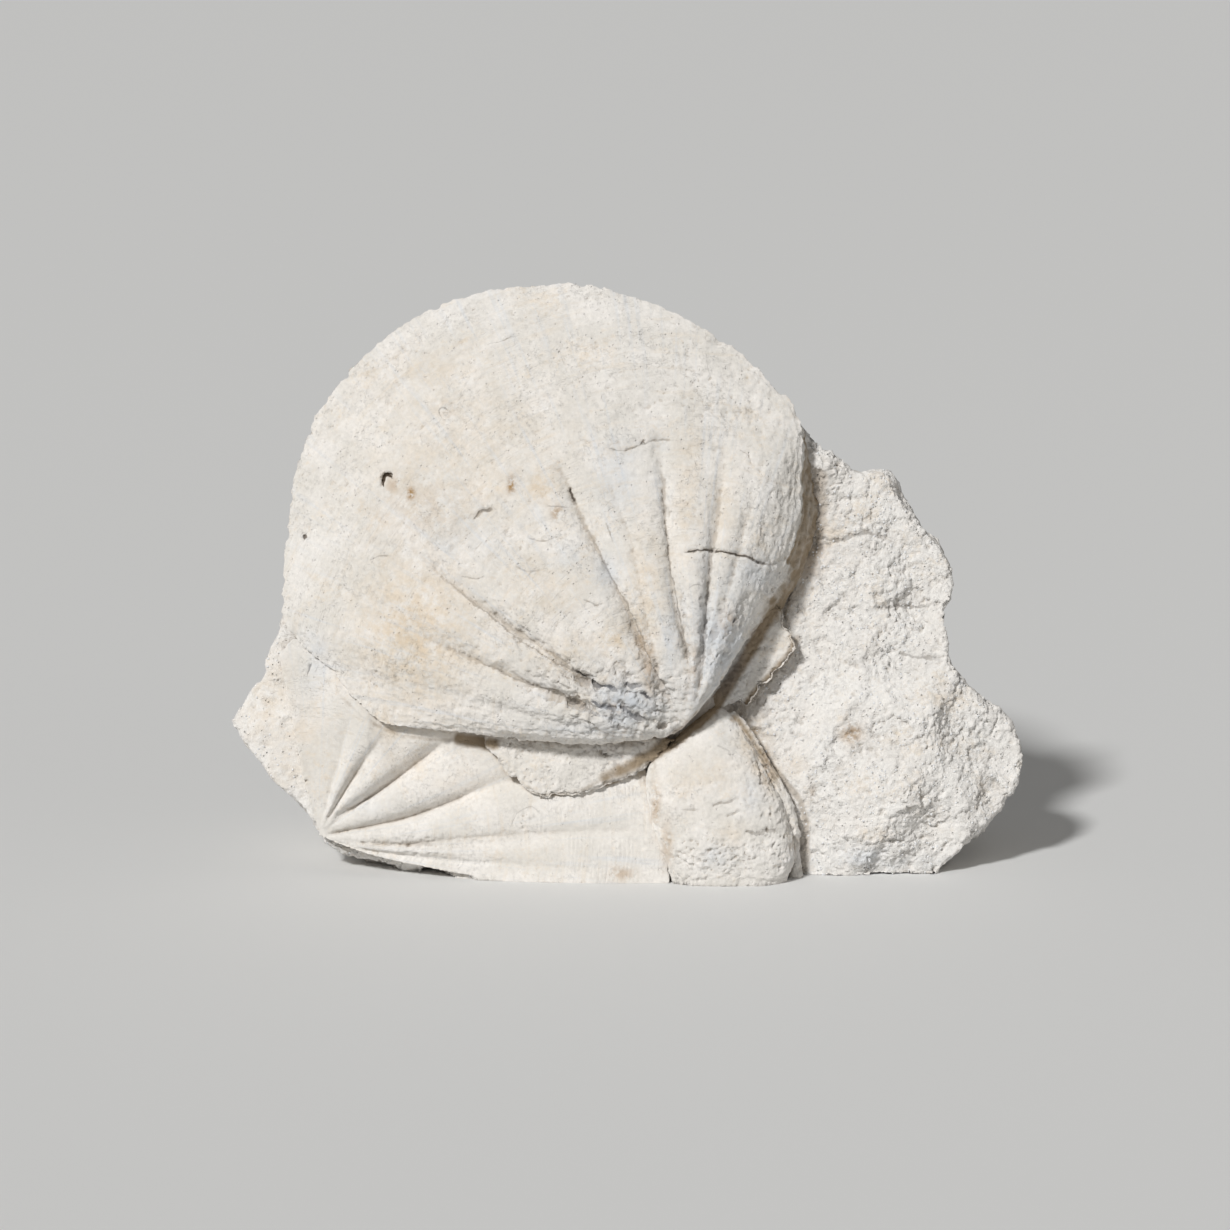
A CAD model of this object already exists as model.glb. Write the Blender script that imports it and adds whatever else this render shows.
"""A fossil scallop shell in a block of white limestone, with a smaller scallop and an oyster beside it.

The fossils lie in one plane, the relief, which leans back a little. In it x runs to the right, y up the
face and z out of the face. Every piece is built in the relief and laid in the row frame at the end.
"""

import functools
import math

import bmesh
import bpy
import numpy as np
from mathutils import Matrix, Vector, noise


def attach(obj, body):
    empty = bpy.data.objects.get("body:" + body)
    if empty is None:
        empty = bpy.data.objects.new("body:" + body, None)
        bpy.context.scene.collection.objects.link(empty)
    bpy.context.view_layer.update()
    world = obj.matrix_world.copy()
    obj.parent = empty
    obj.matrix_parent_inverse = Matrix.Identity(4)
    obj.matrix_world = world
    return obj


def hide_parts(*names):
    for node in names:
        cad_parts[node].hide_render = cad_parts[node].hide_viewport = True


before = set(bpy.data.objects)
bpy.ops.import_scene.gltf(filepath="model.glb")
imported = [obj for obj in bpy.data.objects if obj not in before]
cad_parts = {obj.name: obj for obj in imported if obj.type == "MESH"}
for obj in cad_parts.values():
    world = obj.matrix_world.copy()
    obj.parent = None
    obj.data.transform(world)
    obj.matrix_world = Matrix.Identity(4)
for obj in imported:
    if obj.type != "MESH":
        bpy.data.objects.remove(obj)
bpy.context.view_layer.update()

bl_info = {
    "name": "Fossil Scallop Block",
    "version": (1, 0, 0),
    "blender": (4, 5, 0),
    "location": "3D View > Sidebar > Fossil",
    "description": "Builds a limestone block with two fossil scallops and an oyster",
    "category": "Object",
}

MM = 0.001

# The relief, and the camera that faces it squarely
LEAN = 11.4
RELIEF_ORIGIN = Vector((-0.0015, -0.0238, 0.0))
RELIEF = Matrix.Translation(RELIEF_ORIGIN) @ Matrix.Rotation(math.radians(90 - LEAN), 4, "X")
AIM = Vector((-0.0059, -0.0238, 0.0923))
CAMERA_DISTANCE = 2.132
CAMERA_LENS = 176.06
SENSOR_WIDTH = 36
FLOOR_SIZE = 24.0
KEY_PLACE = (-0.98, -1.82, 1.68)
FILL_PLACE = (1.5, -1.2, 0.7)
FILL_SIZE = 1.4
SKY_COLOUR = (1.0, 0.99, 0.97, 1.0)
AIM_IN_RELIEF = RELIEF.inverted() @ AIM
EYE_HEIGHT = AIM_IN_RELIEF.z + CAMERA_DISTANCE
WELD = 0.00001
STRENGTH_PER_METRE = 380.0
# A furrow or crack: the step between its points, from how many points on its ends fade, over which shares
# of its length they fade, and its width at the start as a share of the full width.
LINE_STEP = 0.0008
LEAST_TO_FADE = 8
FADE_IN = 0.06
FADE_OUT = 0.28
START_WIDTH = 0.55
WALL_SMOOTHING = 40
UNDERCUT = 0.0005
UNDERSIDE_REACH = 0.0015
UNDERSIDE_MARGIN = 0.0006
FAR_FROM_EDGE = 0.05

# The large scallop: its umbo, then (angle at the margin, length) of its rays
LARGE_UMBO = (0.018, 0.049)
LARGE_MARGIN = (
    (57.0, 0.070), (60.0, 0.086), (64.2, 0.101), (67.5, 0.116), (75.7, 0.130), (85.2, 0.1425),
    (91.1, 0.150), (101.7, 0.163), (111.7, 0.170), (122.7, 0.175), (132.7, 0.174), (143.7, 0.1675),
    (151.3, 0.1585), (160.0, 0.150), (165.0, 0.1445), (170.2, 0.125), (174.5, 0.1155), (179.0, 0.104),
)
# (angle at the margin, how far the ray bends near the umbo, how fast that bend fades)
LARGE_BEND = ((57.0, -16, 2), (80.8, -32, 5), (93.5, -28, 5), (113.3, 0, 3), (147.6, 8, 3), (179.0, 18, 2))
LARGE_FAN = (LARGE_UMBO, LARGE_MARGIN, LARGE_BEND)
# A plane is given as (height at the relief's origin, rise along x, rise along y)
LARGE_RIM = (0.034, 0.06, -0.10)
LARGE_UNDERSIDE = (0.0245, 0.02, -0.094)
LARGE_DOME = 0.026
LARGE_CREST = 0.42
LARGE_SQUARE_ALONG = 2.3
LARGE_SQUARE_ACROSS = 0.45
# (angle, depth, half width in degrees, share of the ray where it ends)
LARGE_GROOVES = (
    (66.5, 0.0012, 2.6, 0.95), (80.8, 0.0024, 2.4, 0.80), (93.5, 0.0034, 2.3, 0.78),
    (113.3, 0.0036, 2.4, 0.62), (130.0, 0.0004, 3.0, 0.90), (147.6, 0.0028, 2.6, 0.78),
    (158.8, 0.0020, 2.2, 0.80), (169.0, 0.0010, 2.2, 0.85),
)
LARGE_RIB_SWELL = 0.0018
LARGE_RAY_WIDTH = 0.17
LARGE_WALL_LEAN = 0.0026
RIGHT_FLANK_FOOT = 0.0082
RIGHT_FLANK_BULGE = 0.0075
GROOVE_START = 0.30
GROOVE_END = 0.35
GROOVE_SHARPNESS = 1.4
SWELL_START = 0.25
SWELL_END = 0.60

# The small scallop
SMALL_UMBO = (-0.110, 0.012)
SMALL_MARGIN = (
    (-13.0, 0.126), (-7.5, 0.124), (1.0, 0.120), (10.0, 0.118), (18.5, 0.112), (36.0, 0.092),
    (56.0, 0.072), (74.0, 0.066), (86.0, 0.068), (95.0, 0.070),
)
SMALL_BEND = (
    (-13.0, -14, 4), (1.0, -14, 2), (18.5, -14, 2), (36.0, 2, 2), (56.0, 6, 2), (74.0, 0, 2), (95.0, 3, 2),
)
SMALL_FAN = (SMALL_UMBO, tuple((angle, length + 0.0018) for angle, length in SMALL_MARGIN)
             + ((102.0, 0.066),),
             SMALL_BEND + ((102.0, 5, 2),))
SMALL_GROOVES = (
    (-7.0, 0.0012, 2.0, 0.70), (1.0, 0.0022, 2.2, 1.10), (18.5, 0.0036, 3.0, 1.20),
    (36.0, 0.0034, 3.2, 1.20), (56.0, 0.0026, 3.4, 1.20), (74.0, 0.0012, 4.0, 1.20),
)
SMALL_RIB_SWELL = 0.0028
SMALL_RAY_WIDTH = 0.12
SMALL_WALL_LEAN = 0.0008
FLUSH_DROP = 0.0010
UNDER_RIM_DROP = 0.0020
UNDER_RIM_SHARE = 0.6
SMALL_BEAK_HEIGHT = 0.007
SMALL_RISE = 0.0155
SMALL_TILT = ((-13.0, 1.0), (1.0, 0.95), (18.5, 0.72), (36.0, 0.60), (56.0, 0.55), (74.0, 0.50), (95.0, 0.38))
SMALL_ROUNDNESS = 2.2
SMALL_UNDERSIDE = (0.003, 0.0, 0.0)

# The large scallop's two ears
LOWER_EAR = (
    (0.008, 0.052), (0.019, 0.0465), (0.010, 0.0380), (0.000, 0.0330), (-0.010, 0.0290), (-0.020, 0.0262),
    (-0.028, 0.0255), (-0.033, 0.0275), (-0.038, 0.0310), (-0.042, 0.0330), (-0.046, 0.0390),
    (-0.052, 0.0450), (-0.050, 0.0540),
)
UPPER_EAR = (
    (0.022, 0.053), (0.031, 0.0565), (0.038, 0.0600), (0.042, 0.0580), (0.047, 0.0640), (0.053, 0.0700),
    (0.060, 0.0790), (0.057, 0.0870), (0.054, 0.0940), (0.047, 0.0980), (0.036, 0.0820),
)
LOWER_EAR_DROP = 0.006
UPPER_EAR_DROP = 0.010

# The oyster: its middle, (direction from there, reach) of its outline, its height and its raised edge
OYSTER_MIDDLE = (0.032, 0.022)
OYSTER_OUTLINE = (
    (0, 0.0240), (30, 0.0215), (54, 0.0240), (74, 0.0300), (90, 0.0360), (104, 0.0322), (122, 0.0290),
    (145, 0.0290), (170, 0.0256), (200, 0.0240), (220, 0.0255), (240, 0.0300), (262, 0.0300),
    (286, 0.0310), (304, 0.0340), (320, 0.0340), (334, 0.0300), (346, 0.0265), (360, 0.0240),
)
OYSTER_EDGE_HEIGHT = 0.0195
OYSTER_DOME = 0.0135
OYSTER_DEPTH = 0.0090
OYSTER_LIP = (
    (0.036, 0.055, 0.0195), (0.041, 0.049, 0.0205), (0.046, 0.042, 0.0210), (0.051, 0.035, 0.0205),
    (0.0545, 0.027, 0.0195), (0.0575, 0.018, 0.0180), (0.0595, 0.009, 0.0160), (0.0600, 0.001, 0.0140),
    (0.0600, -0.007, 0.0120),
)
OYSTER_LIP_RADIUS = 0.0034
OYSTER_HINGE = (0.036, 0.070)

# The limestone block: its outline in the relief, then places on its face and their heights
BLOCK_OUTLINE = (
    (-0.108, 0.009), (-0.118, 0.024), (-0.127, 0.033), (-0.134, 0.042), (-0.140, 0.052), (-0.1405, 0.058),
    (-0.135, 0.066), (-0.130, 0.072), (-0.126, 0.080), (-0.121, 0.092), (-0.120, 0.110), (-0.117, 0.130),
    (-0.110, 0.152), (-0.098, 0.173), (-0.081, 0.188), (-0.060, 0.199), (-0.035, 0.205), (-0.010, 0.204),
    (0.015, 0.195), (0.040, 0.180), (0.054, 0.165), (0.068, 0.1515), (0.076, 0.144), (0.081, 0.1405),
    (0.092, 0.141), (0.095, 0.137), (0.096, 0.132), (0.101, 0.128), (0.105, 0.121), (0.111, 0.118),
    (0.115, 0.108), (0.117, 0.102), (0.116, 0.096), (0.114, 0.090), (0.115, 0.075), (0.121, 0.068),
    (0.126, 0.061), (0.133, 0.057), (0.139, 0.050), (0.142, 0.038), (0.139, 0.028), (0.134, 0.020),
    (0.126, 0.012), (0.116, 0.004), (0.108, -0.004), (0.106, -0.030), (-0.055, -0.030), (-0.059, -0.006),
    (-0.064, 0.000), (-0.080, 0.001), (-0.092, 0.003), (-0.103, 0.006),
)
BLOCK_FACE = (
    (0.068, 0.146, 0.012), (0.078, 0.138, 0.008), (0.092, 0.136, 0.005), (0.072, 0.118, 0.008),
    (0.088, 0.115, 0.007), (0.104, 0.112, 0.004), (0.068, 0.098, 0.009), (0.088, 0.095, 0.009),
    (0.108, 0.096, 0.004), (0.062, 0.078, 0.011), (0.080, 0.075, 0.013), (0.104, 0.075, 0.010),
    (0.058, 0.058, 0.013), (0.078, 0.052, 0.017), (0.100, 0.050, 0.018), (0.124, 0.052, 0.009),
    (0.136, 0.044, 0.003), (0.072, 0.032, 0.019), (0.095, 0.028, 0.021), (0.118, 0.028, 0.015),
    (0.132, 0.032, 0.005), (0.069, 0.010, 0.016), (0.088, 0.010, 0.018), (0.110, 0.010, 0.011),
    (0.090, -0.004, 0.009), (0.063, 0.024, 0.0155), (0.062, 0.004, 0.0095),
    (-0.137, 0.056, 0.004), (-0.128, 0.048, 0.009), (-0.122, 0.066, 0.010), (-0.122, 0.038, 0.008),
    (-0.116, 0.026, 0.007), (-0.124, 0.079, 0.010), (-0.100, 0.006, 0.003), (-0.085, 0.002, 0.006),
    (-0.068, 0.000, 0.011), (-0.055, -0.006, 0.016), (0.000, -0.006, 0.016), (0.030, -0.006, 0.010),
    (-0.105, 0.110, 0.006), (-0.090, 0.160, 0.004), (-0.030, 0.190, 0.006), (0.040, 0.165, 0.012),
    (-0.040, 0.110, 0.016), (0.010, 0.060, 0.018),
)
BLOCK_FACE_BLUR = 0.0068
BLOCK_SLAB = 0.080
BLOCK_BACK = (-0.072, 0.0, 0.20)
BACK_SWELL = 0.010
BACK_WAVE = (0.043, 0.037)
BACK_WAVE_START = (0.8, -0.5)
BLOCK_MIDDLE = (0.005, 0.085)
BLOCK_TAPER = 0.17
BED_DROP = 0.0006
BED_SLOPE = 1.5
CHIP_SIZE = 0.030
CHIP_TILT = 0.32
CHIP_SEED = 7.3
CHIP_SHIFTS = (Vector((9.3, -1.5, -8.0)), Vector((0.5, 4.2, 3.1)), Vector((-6.7, 2.9, 5.4)))
BLOCK_LUMPS = ((0.045, 0.0042), (0.016, 0.0016))
ROUGH_GROUND = ((0.021, 6), (0.008, 7))
PLAIN_SLAB_DETAIL = 0.0020
SMOOTHER_FRONT = 0.62

# The grid of heights that shelter is read from
MAP_STEP = 0.0008
POCKET_LEVEL = -0.022
MAP_FLOOR = -0.03
SHELTER_RAYS = 16
SHELTER_DISTANCES = (0.0014, 0.0024, 0.004, 0.0065, 0.010, 0.016)

# Lines as the camera sees them in the relief, in millimetres: (depth, half width, points)
LARGE_FURROWS = (
    (2.0, 2.6, ((17, 56), (12, 65), (9, 75), (4, 82), (1, 90), (-5, 102), (-10, 112), (-14, 120), (-19, 131),
                (-24, 143), (-30, 155))),
    (1.8, 2.4, ((22, 72), (20.5, 80), (18, 90), (16, 100), (15, 112), (13.5, 125), (12.5, 140), (11, 150),
                (10, 163))),
    (1.6, 2.2, ((25, 60), (26, 70), (27, 80), (28, 90), (29, 100), (30, 110), (32, 122), (33, 132),
                (35, 145))),
    (1.3, 2.4, ((29, 74), (32, 87), (37, 102), (40, 113), (43, 126), (46, 138))),
    (0.8, 2.2, ((12, 68), (9, 79), (5, 98), (1, 117), (-3, 128), (-7, 139), (-9, 152))),
    (2.6, 3.6, ((-12, 63), (-20, 70), (-28, 77), (-42, 86), (-50, 92), (-60, 99), (-67, 105), (-72, 110),
                (-80, 115))),
    (2.0, 3.2, ((-15, 57), (-23, 61), (-33, 65), (-45, 70.5), (-55, 74.5), (-65, 79), (-75, 84))),
)
SMALL_FURROWS = (
    (0.5, 2.2, ((-108, 20), (-103, 40), (-99, 57))),
    (0.7, 2.8, ((-107, 17), (-98, 33), (-92, 41), (-86, 49))),
    (1.9, 2.4, ((-106, 17), (-100, 21), (-90, 26.5), (-80, 33.5), (-70, 41.5), (-64, 46))),
    (2.0, 2.6, ((-108, 12), (-100, 13.5), (-90, 15.5), (-80, 17.5), (-70, 21), (-60, 25), (-50, 30),
                (-43, 33))),
    (1.4, 2.6, ((-107, 9.5), (-95, 8.5), (-80, 8.5), (-60, 10.5), (-40, 12), (-10, 13.5), (10, 14))),
    (0.9, 2.2, ((-104, 8), (-90, 6), (-65, 4.5), (-43, 4.5))),
)
LARGE_MARKS = (
    (2.0, 0.6, ((20, 113), (30, 113.5), (36, 112.5), (42, 111.5), (47, 109.5), (50, 108.5), (54, 109))),
    (0.8, 0.45, ((-7, 150.5), (-1, 149.5), (5, 151.5), (10, 153), (17, 153.2))),
    (1.6, 0.7, ((4.6, 151.2), (5.6, 152.6))),
    (1.2, 0.6, ((-55, 125), (-52, 128), (-48, 128.5))),
    (0.8, 0.4, ((-29, 129.5), (-25, 129), (-20, 129))),
    (2.2, 0.8, ((-20.5, 136), (-18.5, 129.5))),
    (0.5, 0.3, ((-50, 187), (-45, 189), (-38, 190.5))),
    (3.0, 0.95, ((-87.4, 137.2), (-87.4, 139.2), (-86.4, 140.8), (-85.2, 140.3))),
    (1.8, 0.8, ((-115.5, 117.6), (-115.2, 118.4))),
    (1.8, 0.9, ((38.0, 88.2), (38.3, 88.8))),
    (1.0, 0.6, ((36.0, 93.5), (36.1, 93.8))),
    (0.7, 0.4, ((-14, 60), (-13.5, 54), (-13, 47))),
    (1.7, 1.0, ((-20, 71.5), (-17, 69.8), (-14, 67))),
    (1.8, 1.1, ((-13, 66.5), (-10, 65.2), (-6, 64.8), (-3, 62.4))),
    (1.6, 1.0, ((-13, 60), (-10.5, 58.3), (-6, 57), (-3, 55.8))),
    (1.3, 0.9, ((-3, 57.5), (1, 56), (4, 53.6), (8, 52.4))),
    (1.2, 0.8, ((-22, 60.5), (-17, 58), (-12, 55), (-8, 53.6))),
    (1.5, 0.9, ((4.5, 63), (7, 61), (9.5, 60))),
    (1.1, 0.8, ((-1, 66), (2, 64.5), (4, 65.2))),
    (1.0, 0.7, ((-24, 66), (-21, 64.5))),
    (1.0, 0.7, ((-6, 50.5), (-1, 50), (3, 49.4))),
    (0.7, 0.35, ((-67.0, 161.7), (-67.6, 163), (-67.2, 164.3), (-66.0, 164.9), (-65.0, 164.2))),
    (0.4, 0.3, ((-63.5, 171), (-63.9, 172.4), (-62.8, 173.6))),
    (0.5, 0.5, ((-92, 110), (-88, 112), (-84, 111.5))),
    (0.5, 0.45, ((22, 100), (24.5, 101.5), (26, 101))),
    (0.6, 0.45, ((-60, 104), (-54, 103.5), (-50, 105))),
    (0.5, 0.4, ((-36, 118), (-30, 117), (-26, 118.5), (-22, 117.5))),
    (0.5, 0.5, ((-40, 108), (-36, 106), (-30, 107))),
    (0.6, 0.5, ((-16, 96), (-11, 94), (-8, 95))),
    (0.5, 0.45, ((40, 150), (43, 148), (45, 144))),
    (0.6, 0.5, ((-8, 124), (-6, 119), (-5, 116))),
    (1.2, 0.7, ((12, 50), (14, 51))),
    (0.7, 0.4, ((17.5, 57), (12.7, 65.3), (7, 77), (3, 87.6), (-2.3, 98), (-7.5, 107.7), (-12, 117),
                (-18, 128))),
    (0.7, 0.4, ((22.3, 71.2), (20.1, 83.1), (17.9, 95.1), (14.9, 110), (13.5, 125), (12.5, 140))),
    (0.6, 0.4, ((26.1, 65.3), (27.6, 80.2), (29, 101), (31, 116))),
    (0.6, 0.4, ((-9.7, 62.3), (-17, 69), (-26.8, 74.2), (-38, 81.6), (-50, 91), (-60, 99), (-68, 106))),
    (0.6, 0.4, ((-0.7, 52.6), (-12.7, 55.6), (-24.6, 62.3), (-38, 66.8), (-50, 72.5), (-60, 77))),
)
SMALL_MARKS = (
    (1.4, 0.6, ((-119.5, 29), (-117.5, 30), (-115.5, 31), (-113.5, 31.8))),
    (0.9, 0.45, ((-120, 82.5), (-117.5, 82))),
    (0.9, 0.45, ((-114.3, 69.3), (-113.3, 72.5))),
    (0.4, 0.3, ((-42, 14), (-39, 20), (-34, 22), (-30, 18))),
    (0.6, 0.7, ((-42, 38.5), (-41, 38.6))),
)
OYSTER_MARKS = (
    (0.7, 0.7, ((30, 22), (33, 23.2), (36, 23.4), (38.5, 25), (40.5, 25.4))),
    (0.5, 0.6, ((20, 20.8), (24, 21))),
    (0.6, 0.8, ((35, 18.5), (38, 19.6), (41, 21.5))),
    (0.9, 1.1, ((42, 13.2), (46, 12.5), (50, 13), (55, 13))),
    (0.4, 0.6, ((32, 44), (36, 42), (38, 38.5))),
)
LOWER_EAR_MARKS = (
    (1.2, 0.9, ((-8.2, 40.5), (-7.6, 40.4))),
    (1.0, 0.9, ((-46.2, 38.5), (-45.4, 38.5))),
    (0.6, 0.4, ((-10, 45), (-9.4, 41))),
)
EDGE_MARKS = ((1.0, 0.6, ((40, 50), (46, 42), (50, 36), (54, 30), (56, 24))),)
BLOCK_MARKS = (
    (1.0, 0.9, ((66, 118.5), (75, 117.5), (84, 119.5), (95, 118.5))),
    (1.0, 0.8, ((92, 93.5), (100, 93), (110, 94.5))),
    (0.8, 0.8, ((97, 76.5), (106, 75), (113, 74.5))),
)

# Painted patches as the camera sees them, in millimetres: (x, y, half width, half height, strength)
WARM_PATCHES = (
    (-76, 84, 20, 26, 0.9), (-5, 81, 5, 6, 1.0), (-20, 76, 12, 8, 0.5), (-60, 150, 36, 30, 0.35),
    (6, 96, 7, 26, 0.6), (22, 130, 6, 26, 0.5), (-8, 66, 5, 3, 0.5), (-16, 58, 6, 4, 0.8),
    (34, 128, 5, 20, 0.4), (-30, 100, 14, 14, 0.4), (-31, 136, 6, 7, 0.8), (-85, 52, 6, 8, 0.6),
    (-80, 38, 8, 6, 0.3), (45, 47, 5, 8, 0.9), (47, 40, 4, 6, 0.9), (20, 30, 8, 8, 0.3),
    (30, 34, 9, 6, 0.4), (37, 12, 5, 4, 0.4), (-60, 30, 10, 6, 0.25), (-116, 48, 7, 9, 0.4),
    (-129, 60, 9, 16, 0.5), (-122, 36, 7, 8, 0.4), (52, 33, 3, 6, 0.7), (60, 36, 4, 4, 0.4),
    (-70, 177, 18, 8, 0.4),
)
COOL_PATCHES = (
    (-2, 60, 17, 11, 1.0), (34, 82, 10, 24, 0.9), (-7, 106, 4, 7, 0.7), (-113, 75, 5, 8, 1.0),
    (-3, 142, 8, 14, 0.5), (12, 140, 4, 14, 0.5), (28, 100, 4, 20, 0.5), (-22, 112, 5, 5, 0.6),
    (45, 105, 9, 8, 0.6), (-95, 22, 10, 4, 0.3), (30, 4, 14, 4, 0.5), (90, 3, 26, 4, 0.6),
    (-60, 116, 12, 8, 0.3), (45, 26, 4, 8, 0.4), (-20, 50, 16, 4, 0.5), (15, 80, 3, 14, 0.6),
    (24, 60, 3, 8, 0.6),
)
RUST_PATCHES = (
    (80, 48, 3.5, 3.0, 1.0), (-77.5, 134, 1.3, 2.0, 1.6), (-41.5, 137, 1.2, 2.4, 1.6),
    (10, 22, 1.6, 8, 0.7), (-2, -2, 4, 2.5, 0.6), (36, 88, 3, 4, 0.5), (8, 72, 2, 8, 0.6),
    (5, 82, 2, 6, 0.5), (-25, 127, 2.0, 2.2, 0.9), (24, 72, 2, 10, 0.4), (66, 26, 2, 3, 0.5),
    (-64, 164, 3, 3, 0.2), (-84, 137, 2.5, 3, 0.5), (14, 8, 2, 8, 0.5), (-72, 128, 14, 10, 0.2),
    (50, 36, 2, 5, 0.6), (66, 112, 4, 7, 0.5), (-4, 57, 3, 2, 0.6),
)
# Routes that soil fills, in millimetres: (width, strength, points)
SOIL_ROUTES = (
    (5.0, 1.0, ((68, 140), (68, 128), (66, 118), (64, 111), (61, 104), (57, 97), (53, 92))),
    (3.2, 1.0, ((53, 95), (50, 88), (46, 81), (41, 73), (36, 65), (30, 57), (24, 51))),
    (3.4, 1.0, ((26, 54), (20, 48.5), (14, 44), (8, 40), (0, 35.5), (-8, 32))),
    (1.6, 0.7, ((-8, 32), (-16, 28), (-24, 26.5), (-30, 26))),
    (2.2, 0.8, ((61, 82), (57, 76), (53, 71), (48, 65), (43, 59), (40, 55), (38, 53))),
    (1.6, 0.9, ((40, 53), (46, 44), (52, 36), (57, 30), (62, 24), (64, 16), (64, 6))),
    (3.0, 0.7, ((62, 10), (64, 5), (63, 0))),
    (1.2, 0.5, ((10, 38), (9, 30), (9.5, 20), (12, 10), (15, 2))),
    (1.4, 0.6, ((-104, 63), (-95, 54), (-88, 50), (-80, 47), (-70, 46), (-58, 45.5))),
    (3.0, 0.9, ((-60, 46), (-54, 45), (-48, 44))),
    (1.5, 0.4, ((-8, 56), (0, 56), (8, 58))),
    (1.2, 0.5, ((20, 56), (22, 66), (24, 74))),
    (2.4, 0.6, ((66, 149), (70, 146), (73, 141))),
)
ROUGH_PATCHES = (
    (-4, 60, 20, 14, 1.0), (-22, 66, 16, 10, 0.7), (34, 82, 12, 22, 0.45), (52, 125, 9, 30, 0.30),
    (30, 170, 26, 16, 0.30), (-50, 120, 26, 14, 0.3), (-40, 86, 26, 12, 0.35), (-36, 18, 8, 6, 0.7),
    (-75, 8, 30, 6, 0.7), (30, 4, 18, 6, 1.0), (52, 10, 8, 12, 0.6), (48, 30, 5, 14, 0.6),
    (-60, 58, 34, 7, 0.2), (-88, 70, 10, 12, 0.3), (-100, 20, 10, 4, 0.4), (-78, 26, 8, 3, 0.5),
    (-40, 44, 5, 4, 0.6), (0, 175, 10, 10, 0.2),
)


class FossilShapeSettings(bpy.types.PropertyGroup):
    """How finely the shells and the rock are worn and grained."""

    shell_detail: bpy.props.FloatProperty(
        name="Shell detail", description="Size of the large shell's facets", default=0.00073, unit="LENGTH")
    small_detail: bpy.props.FloatProperty(
        name="Small shell detail", description="Size of the small shells' facets", default=0.00050,
        unit="LENGTH")
    rock_detail: bpy.props.FloatProperty(
        name="Rock detail", description="Size of the block's facets", default=0.00183, unit="LENGTH")
    furrow_depth: bpy.props.FloatProperty(
        name="Furrow depth", description="Share of their measured depth that the furrows get", default=1.55)
    growth_spacing: bpy.props.FloatProperty(
        name="Growth line spacing", description="Distance between two growth lines", default=0.0021,
        unit="LENGTH")
    growth_height: bpy.props.FloatProperty(
        name="Growth line height", description="Height of a growth line", default=0.00022, unit="LENGTH")
    margin_bites: bpy.props.FloatProperty(
        name="Margin bites", description="Depth of the bites in a shell's margin", default=0.0019,
        unit="LENGTH")
    crumbs: bpy.props.IntProperty(
        name="Crumbs", description="Crumbs for each square centimetre of open rock", default=9)


class FossilColourSettings(bpy.types.PropertyGroup):
    """The chalk's colours."""

    chalk: bpy.props.FloatVectorProperty(
        name="Chalk", description="Ground colour of the shells", subtype="COLOR", default=(0.80, 0.77, 0.722))
    rock: bpy.props.FloatVectorProperty(
        name="Rock", description="Ground colour of the rock", subtype="COLOR", default=(0.90, 0.878, 0.845))
    pale: bpy.props.FloatVectorProperty(
        name="Pale", description="Palest chalk", subtype="COLOR", default=(0.88, 0.85, 0.81))
    warm: bpy.props.FloatVectorProperty(
        name="Warm", description="Peach and ochre patches", subtype="COLOR", default=(0.75, 0.60, 0.41))
    cool: bpy.props.FloatVectorProperty(
        name="Cool", description="Blue-white patches", subtype="COLOR", default=(0.69, 0.73, 0.78))
    rust: bpy.props.FloatVectorProperty(
        name="Rust", description="Rust and ochre specks", subtype="COLOR", default=(0.44, 0.27, 0.11))
    dirt: bpy.props.FloatVectorProperty(
        name="Dirt", description="Soil left in hollows", subtype="COLOR", default=(0.33, 0.245, 0.15))
    slate: bpy.props.FloatVectorProperty(
        name="Slate", description="Blue-grey of the pits in the cool patches", subtype="COLOR",
        default=(0.15, 0.16, 0.19))
    charcoal: bpy.props.FloatVectorProperty(
        name="Charcoal", description="Grey of deep pits", subtype="COLOR", default=(0.065, 0.042, 0.024))


class FossilStageSettings(bpy.types.PropertyGroup):
    """The floor and the light."""

    floor: bpy.props.FloatVectorProperty(
        name="Floor", description="Colour of the floor", subtype="COLOR", default=(0.80, 0.80, 0.79))
    key_power: bpy.props.FloatProperty(
        name="Key light", description="Strength of the main light", default=2.45)
    key_softness: bpy.props.FloatProperty(
        name="Key softness", description="Width of the main light as seen from the block",
        default=math.radians(7), subtype="ANGLE")
    fill_power: bpy.props.FloatProperty(
        name="Fill light", description="Power of the soft light on the right", default=1.5, unit="POWER")
    sky: bpy.props.FloatProperty(name="Sky", description="Brightness of the surroundings", default=0.20)


# Geometry ---------------------------------------------------------------------


def smooth_through(points, at):
    """Heights at the positions given, on a smooth curve through (position, height) points in rising order."""
    known = np.array(points, float)
    x, y = known[:, 0], known[:, 1]
    slope = np.gradient(y, x)
    i = np.clip(np.searchsorted(x, at) - 1, 0, len(x) - 2)
    width = x[i + 1] - x[i]
    t = np.clip((at - x[i]) / width, 0, 1)
    start = (1 + 2 * t) * (1 - t) ** 2 * y[i] + t * (1 - t) ** 2 * width * slope[i]
    end = t**2 * (3 - 2 * t) * y[i + 1] - t**2 * (1 - t) * width * slope[i + 1]
    return start + end


def ray_bend(bends, angle):
    """How far the ray of each angle bends, in degrees, and how soon the bend fades outwards."""
    rays = np.array(bends, float)
    return np.interp(angle, rays[:, 0], rays[:, 1]), np.interp(angle, rays[:, 0], rays[:, 2])


def fan_place(fan, share, angle):
    """Where a point lies that is this share of the way along the ray that meets the margin at this angle."""
    umbo, margin, bends = fan
    bend, fade = ray_bend(bends, angle)
    heading = np.radians(angle + bend * (1 - share) ** fade)
    reach = share * smooth_through(margin, angle)
    return umbo[0] + reach * np.cos(heading), umbo[1] + reach * np.sin(heading)


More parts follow.
